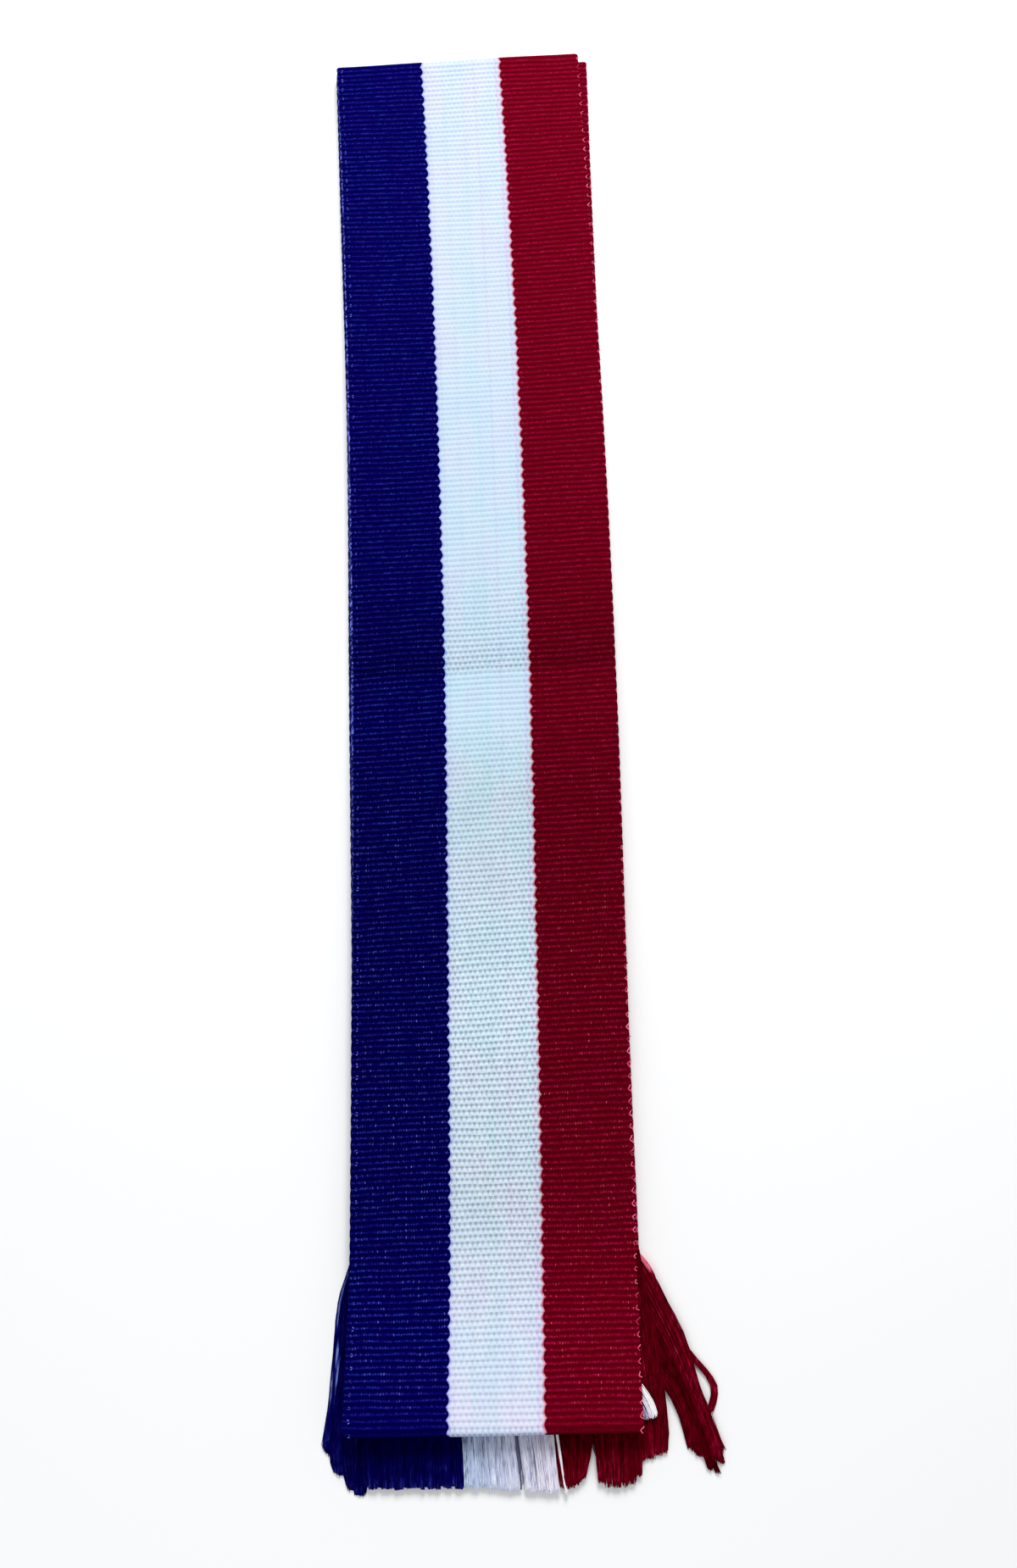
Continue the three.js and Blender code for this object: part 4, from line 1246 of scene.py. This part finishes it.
TASSEL_LEAD = [
    (ROOT_IN_CLOTH, 29.9, 48.0, 0.2, 1.4), (0.0, 29.9, 49.8, 0.2, 1.6), (2.4, 30.5, 52.3, 0.2, 2.1),
    (6.7, 31.8, 54.6, 0.2, 2.4), (10.3, 33.0, 55.4, 0.2, 2.5), (15.0, 35.8, 57.3, 0.2, 2.5),
    (20.0, 38.6, 60.0, 0.2, 2.5), (24.0, 41.0, 62.1, 0.2, 2.5), (29.0, 43.8, 64.0, 0.2, 2.5),
    (36.0, 49.6, 65.5, 0.2, 2.5), (42.0, 55.0, 66.9, 0.2, 2.4), (46.0, 58.6, 67.9, 0.2, 2.3),
    (49.0, 60.0, 69.0, 0.2, 2.3), (53.0, 60.6, 70.4, 0.2, 2.2), (59.0, 62.1, 72.3, 0.2, 2.0),
]
CURL_LEAD = [
    (18.0, 54.0, 55.6, 0.4, 1.3), (25.0, 59.0, 60.8, 0.4, 1.3), (31.0, 62.6, 64.4, 0.4, 1.3),
    (33.4, 63.9, 66.2, 0.4, 1.2), (35.0, 64.9, 68.0, 0.3, 1.2), (38.0, 67.5, 71.0, 0.2, 1.1),
    (41.0, 71.1, 73.8, 0.2, 1.0), (44.0, 73.2, 75.3, 0.2, 1.0), (47.5, 73.1, 75.4, 0.2, 1.0),
    (50.5, 71.2, 74.2, 0.2, 0.9),
]
TUFT_LEAD = [
    (24.0, 23.0, 29.5, 2.7, 3.3), (36.0, 34.0, 42.5, 2.8, 3.4), (42.3, 40.5, 48.4, 2.9, 3.5),
    (44.4, 42.3, 50.3, 2.9, 3.5), (47.0, 44.5, 51.8, 2.9, 3.5), (49.7, 46.8, 52.8, 2.9, 3.5),
    (52.1, 48.2, 53.3, 2.9, 3.5),
]
CLUMPS = [
    dict(node="upper_fringe_blue", yarn="blue", uneven=0.007, fold_shadow=0.25, locks=[
        lock((0.0, 0.12), (-0.06, 0.12), 73.4, -0.03), *even_locks(8, (74.8, 75.4), overlap=0.35),
    ]),
    dict(node="upper_fringe_white", yarn="white", locks=WHITE_LOCKS, per_guide=26, gather=0.08, painted_parting_shade=0.36,
         wave=1.1, fold_shadow=0.1),
    dict(node="upper_fringe_red_inner", yarn="red", locks=RED_INNER_LOCKS, uneven=0.03, fold_shadow=0.2),
    dict(node="upper_fringe_red_middle", yarn="red", uneven=0.03, fold_shadow=0.15,
         locks=[*even_locks(5, (75.4, 76.8, 76.6, 75.4), overlap=0.1),
                lock((0.94, 1.06), (0.99, 1.15), 73.4)]),
    dict(node="upper_fringe_red_outer", yarn="red",
         locks=[lock((-0.12, 0.1), (-0.14, 0.1), 68.6, 0.0),
                *even_locks(4, (68.0, 67.4, 66.0), overlap=0.1, width=0.94)]),
    dict(node="white_stray_tuft", yarn="white", per_guide=18, uneven=0.05, crowding=1.2, crimp=0.1,
         painted_parting_shade=0.15, lead=TUFT_LEAD, locks=[
             lock((0.0, 0.3), (0.0, 0.22), 54.8, -0.3), lock((0.48, 0.76), (0.42, 0.66), 54.4, 0.0, 0.2),
             lock((0.72, 1.0), (0.62, 0.92), 53.8, 0.8, 0.5),
         ]),
    dict(node="lower_fringe_blue_outer", yarn="blue", wave=0.6, crowding=1.0, crimp=0.2, locks=[
        lock((0.0, 1.0), (0.1, 0.9), 46.0, -0.25, -0.2), lock((0.0, 0.4), (0.0, 0.4), 62.0, 0.05),
        lock((0.3, 0.8), (0.34, 0.8), 63.2, -0.05), lock((0.6, 1.0), (0.7, 1.5), 64.0, -0.1),
        # The last four locks are painted highlights over stretches of the clump.
        lock((0.0, 0.05), (0.0, 0.04), 60.0, 0.8, 0.1, (5.0, 20.0)),
        lock((0.0, 0.04), (0.0, 0.03), 61.0, 0.9, 0.1, (38.0, 46.0)),
        lock((0.13, 0.19), (0.15, 0.21), 60.0, 1.1, 0.25, (27.0, 33.0)),
        lock((0.25, 0.31), (0.3, 0.36), 60.0, 1.0, 0.25, (35.0, 42.0)),
    ]),
    dict(node="lower_fringe_blue_side", yarn="blue", wave=0.7, crowding=1.2, crimp=0.2, locks=[
        lock((-0.5, 0.25), (-0.12, 0.3), 70.4, 0.05), lock((0.15, 0.6), (0.16, 0.62), 75.4, 0.0),
        lock((0.5, 1.0), (0.5, 1.1), 77.2, 0.05), lock((0.9, 1.6), (1.0, 1.9), 73.8, -0.05),
    ]),
    dict(node="lower_fringe_blue_inner", yarn="blue", per_guide=6, locks=even_locks(4, (70.0,))),
    dict(node="lower_fringe_white", yarn="white", per_guide=6, locks=even_locks(5, (70.0,))),
    dict(node="lower_fringe_red_inner", yarn="red", per_guide=6, locks=even_locks(3, (68.0,))),
    dict(node="lower_fringe_red_tassel", yarn="red", per_guide=26, uneven=0.05, wave=0.8, crowding=1.0,
         straight_from=66.0, crimp=0.2, painted_parting_shade=0.22, lead=TASSEL_LEAD, locks=TASSEL_LOCKS),
    dict(node="lower_fringe_red_curl", yarn="red", uneven=0.05, wave=0.3, crowding=1.0, per_guide=20,
         locks=[lock((0.14, 0.86), (0.0, 0.74), 53.4, 0.2)], lead=CURL_LEAD),
]
fringe_pieces = [yarn_clump(seed=20 + number, **clump) for number, clump in enumerate(CLUMPS)]
print("fringe faces", sum(len(piece.data.polygons) for piece in fringe_pieces))

# %% [markdown]
# The selvedge threads
#
# Along both edges a finer, paler thread binds the weft. On top it shows as one small mark in every two
# ribs: a pink hook that opens towards the red rim, and two lilac beads a little further in on the blue
# side. The marks almost sink into the cloth in the middle of the sash, so a table gives their size. First
# come their places, at each second rib along the edge of every run, on the face that looks up.

# %% Edge lines
EDGE_THREAD_RADIUS = 0.18
HOOK_SIDES = 5
HOOK_SPACING = 2
HOOK_LEAN = 0.4
HIDDEN_MARK = 0.8
MARK_SIZE = [
    dict(along=266, blue=0.7, red=0.8),
    dict(along=170, blue=0.7, red=0.8),
    dict(along=100, blue=0.65, red=0.65),
    dict(along=50, blue=0.5, red=0.4),
    dict(along=-20, blue=0.45, red=0.4),
    dict(along=-60, blue=0.7, red=0.65),
    dict(along=-110, blue=0.75, red=1.0),
    dict(along=-266, blue=0.75, red=1.05),
]


def edge_points(side, inset):
    """Places of the marks along one edge, on the faces that look up: rows of x, y, z and the size."""
    spots = []
    for rib in np.arange(LIGHT_LINE + 1, row_phases[-1] - 1, HOOK_SPACING):
        row = [float(np.interp(rib * RIB_PITCH, path_length, path[:, k])) for k in (0, 1, 2, 3, 4, 6, 5)]
        if abs(row[3]) < 0.5:
            continue
        edge = "red" if side > 0 else "blue"
        size = float(column_at(MARK_SIZE, edge, row[0])) if row[6] > 0.5 else HIDDEN_MARK
        face = math.copysign(1.0, row[3])
        ring = band_ring(row[:6], rib + 0.5 - face / 2, face * HALF_THICKNESS)[:len(face_across)]
        place = [float(np.interp(side * (HALF_WIDTH - inset), face_across, ring[:, k])) for k in range(3)]
        spots.append((*place, size))
    return np.array(spots)


for side, label in ((-1, "blue edge"), (1, "red edge")):
    print(label, len(edge_points(side, 0.6)), "marks")

# %% [markdown]
# One mark is drawn once, as a curve, and a second Geometry Nodes tree sweeps a thread along it and puts a
# copy at each place. The copies lean a little and differ in size, as threads do that are laid in by hand.

# %% Hook tree
hooks = bpy.data.node_groups.new("selvedge_hooks", "GeometryNodeTree")
hook_inputs = tree_inputs(
    hooks, ("Edge", "Geometry"), ("Hook", "Object"), ("Thread radius", "Float", EDGE_THREAD_RADIUS * MM),
    ("Unevenness", "Float", 0.25), ("Seed", "Int", 5), ("Yarn", "Material"))
hooks.interface.new_socket(name="Hooks", in_out="OUTPUT", socket_type="NodeSocketGeometry")
given = add(hooks, "NodeGroupInput").node.outputs
hook_shape = add(hooks, "GeometryNodeObjectInfo", [given["Hook"]]).node.outputs["Geometry"]
hook_section = add(hooks, "GeometryNodeCurvePrimitiveCircle", {
    "Resolution": HOOK_SIDES, "Radius": given["Thread radius"],
})
hook_mesh = add(hooks, "GeometryNodeCurveToMesh", {
    "Curve": hook_shape, "Profile Curve": hook_section, "Fill Caps": True,
})
lean = add(hooks, "FunctionNodeRandomValue", {2: -HOOK_LEAN, 3: HOOK_LEAN, "Seed": 3}, data_type="FLOAT")
turn = add(hooks, "ShaderNodeCombineXYZ", {2: lean})
smallest = add(hooks, "ShaderNodeMath", [1.0, given["Unevenness"]], operation="SUBTRACT")
largest = add(hooks, "ShaderNodeMath", [1.0, given["Unevenness"]], operation="ADD")
uneven = add(hooks, "FunctionNodeRandomValue", {2: smallest, 3: largest, "Seed": given["Seed"]},
             data_type="FLOAT")
mark_size = add(hooks, "GeometryNodeInputNamedAttribute", {"Name": "mark_size"}, data_type="FLOAT")
size = add(hooks, "ShaderNodeMath", [uneven, mark_size], operation="MULTIPLY")
placed = add(hooks, "GeometryNodeInstanceOnPoints", {
    "Points": given["Edge"], "Instance": hook_mesh, "Rotation": turn, "Scale": size,
})
end_tree(hooks, placed, given["Yarn"])
print("hook tree has", len(hooks.nodes), "nodes")

# %% [markdown]
# The binding thread is a fine dyed rayon, paler than the cloth because single threads let light through.
# Its shade changes in patches of about 4 mm. The marks of an edge are one piece.

# %% Hooks along both edges
GLIMMER_PER_METRE = 260.0


def hook_curve(name, strands):
    """One mark as a curve, from strands of points in mm: x outwards, y along the sash and z up."""
    curve = bpy.data.curves.new(name, "CURVE")
    curve.dimensions = "3D"
    for points in strands:
        spline = curve.splines.new("POLY")
        spline.points.add(len(points) - 1)
        for point, place in zip(spline.points, points):
            point.co = (*(Vector(place) * MM), 1.0)
    return put_in_scene(name, curve)


def edge_threads(name, side, inset, strands, dim, colour, shine):
    """All the marks along one edge of the cloth, as one piece."""
    material_name = name.replace("hooks", "binding_thread")
    material, tree, shader = new_material(material_name, roughness=0.6, specular=0.006)
    place = add(tree, "ShaderNodeTexCoord").node.outputs["Object"]
    # A noise paints glints on the thread in patches of about 4 mm.
    glimmer = add(tree, "ShaderNodeTexNoise", {0: place, "Scale": GLIMMER_PER_METRE, "Detail": 2.0})
    shade = add(tree, "ShaderNodeValToRGB", [glimmer], stops=[(0.36, dim), (0.46, colour), (0.64, shine)])
    tree.links.new(shade, shader.inputs["Base Color"])
    spots = edge_points(side, inset)
    mesh = bpy.data.meshes.new(name + "_spots")
    mesh.from_pydata((spots[:, :3] * MM).tolist(), [], [])
    mesh.attributes.new("mark_size", "FLOAT", "POINT").data.foreach_set("value", spots[:, 3])
    edge = put_in_scene(name + "_spots", mesh)
    hook = hook_curve(name + "_shape", [[(side * x, y, z) for x, y, z in points] for points in strands])
    modifier = edge.modifiers.new("hooks", "NODES")
    modifier.node_group = hooks
    modifier[hook_inputs["Hook"].identifier] = hook
    modifier[hook_inputs["Yarn"].identifier] = material
    edge = made_plain(edge, name)
    hook_data = hook.data
    bpy.data.objects.remove(hook)
    bpy.data.curves.remove(hook_data)
    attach(edge, "root")
    return edge


RED_HOOK = [[(0.42, 1.15, -0.05), (0.2, 0.8, 0.1), (-0.25, 0.25, 0.14), (-0.42, 0.0, 0.14),
             (-0.25, -0.25, 0.14), (0.15, -0.6, 0.1), (0.4, -0.8, -0.05)]]
BLUE_BEADS = [[(0.26, 0.76, -0.1), (0.1, 0.66, 0.1), (-0.06, 0.56, 0.1), (-0.2, 0.48, -0.12)],
              [(0.26, -0.66, -0.1), (0.1, -0.56, 0.1), (-0.06, -0.46, 0.1), (-0.2, -0.38, -0.12)]]
RED_INSET, BLUE_INSET = 0.8, 1.9

red_hooks = edge_threads("red_edge_hooks", 1, RED_INSET, RED_HOOK, "b4244c", "f04870", "ff789c")
blue_hooks = edge_threads("blue_edge_hooks", -1, BLUE_INSET, BLUE_BEADS, "24288c", "4850c8", "7c88ff")
print("the binding threads lie", RED_INSET, "and", BLUE_INSET, "mm in from the edges")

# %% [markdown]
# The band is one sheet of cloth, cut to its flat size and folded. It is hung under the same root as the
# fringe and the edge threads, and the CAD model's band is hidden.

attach(band, "root")
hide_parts("woven_band")
print("one sheet of", BAND_WIDTH, "x", round(CUT_LENGTH), "mm with", len(fringe_pieces) + 2, "pieces on it")

# %% [markdown]
# The stage
#
# The sash lies on a plain white surface. It is matt, so that no light shines back from it.

# %% Floor
FLOOR_HALF = 2000.0
FLOOR_BELOW = 0.05

floor_mesh = bpy.data.meshes.new("floor")
floor_corners = [(-1, -1), (1, -1), (1, 1), (-1, 1)]
floor_points = [(x * FLOOR_HALF * MM, y * FLOOR_HALF * MM, -FLOOR_BELOW * MM) for x, y in floor_corners]
floor_mesh.from_pydata(floor_points, [], [(0, 1, 2, 3)])
floor_paint, _, floor_shader = new_material("matt_white_paint", roughness=0.9, specular=0.1)
floor_shader.inputs["Base Color"].default_value = linear("fbfbfb")
new_piece("floor", floor_mesh, floor_paint)
print("floor", 2 * FLOOR_HALF, "mm wide")

# %% [markdown]
# Soft light comes mostly from beyond the sash's top end, so the far side of each rib is the bright one. Each
# lamp's power is worked out from its distance and its slant, for the light level wanted on the sash.

# %% Light
ROOM_LEVEL = 0.44

world = bpy.data.worlds.new("soft_room")
bpy.context.scene.world = world
world.use_nodes = True
background = world.node_tree.nodes["Background"]
background.inputs["Color"].default_value = linear("fafcff")
background.inputs["Strength"].default_value = ROOM_LEVEL


def soft_light(name, place, aim, size, level):
    """A square area light that looks at a point, in mm, and lights a level white surface there to a level."""
    reach = Vector(aim) - Vector(place)
    height_share = -reach.z / reach.length
    lamp = bpy.data.lights.new(name, "AREA")
    lamp.shape = "SQUARE"
    lamp.size = size * MM
    lamp.energy = level * math.pi ** 2 * (reach.length * MM) ** 2 / height_share
    turned = reach.to_track_quat("-Z", "Y").to_matrix().to_4x4()
    put_in_scene(name, lamp).matrix_world = Matrix.Translation(Vector(place) * MM) @ turned
    print(name, "has", round(lamp.energy, 1), "watts")


soft_light("window", (150, 1100, 900), (0, 0, 0), 600, 0.68)
soft_light("bounce", (-150, -700, 500), (0, 0, 0), 400, 0.08)

# %% [markdown]
# The camera stands over the lower half of the sash, tilted twelve degrees from straight down. Its place and
# turn were fitted to the stripes and the pitch of the ribs in the photograph.

# %% Camera
CAMERA_TILT = math.radians(12.05)
CAMERA_ROLL = math.radians(-1.67)
CAMERA_REACH = 565.5
CAMERA_AIM = Vector((8.31, -39.53, 6.0))

back = Vector((0.0, -math.sin(CAMERA_TILT), math.cos(CAMERA_TILT)))
level_right = Vector((1.0, 0.0, 0.0))
level_up = back.cross(level_right)
camera_right = math.cos(CAMERA_ROLL) * level_right + math.sin(CAMERA_ROLL) * level_up
camera_up = back.cross(camera_right)
camera_data = bpy.data.cameras.new("camera")
camera_data.lens = 35.0
camera_data.sensor_width = 36.0
camera_data.clip_start = 0.01
camera = put_in_scene("camera", camera_data)
turned = Matrix((camera_right, camera_up, back)).transposed().to_4x4()
camera.matrix_world = Matrix.Translation((CAMERA_AIM + back * CAMERA_REACH) * MM) @ turned
bpy.context.scene.camera = camera
bpy.context.scene.view_settings.view_transform = "Standard"
print("the camera is", CAMERA_REACH, "mm from its aim")

# %% [markdown]
# The last cell brings the scene up to date.

# %% Finish
bpy.context.view_layer.update()
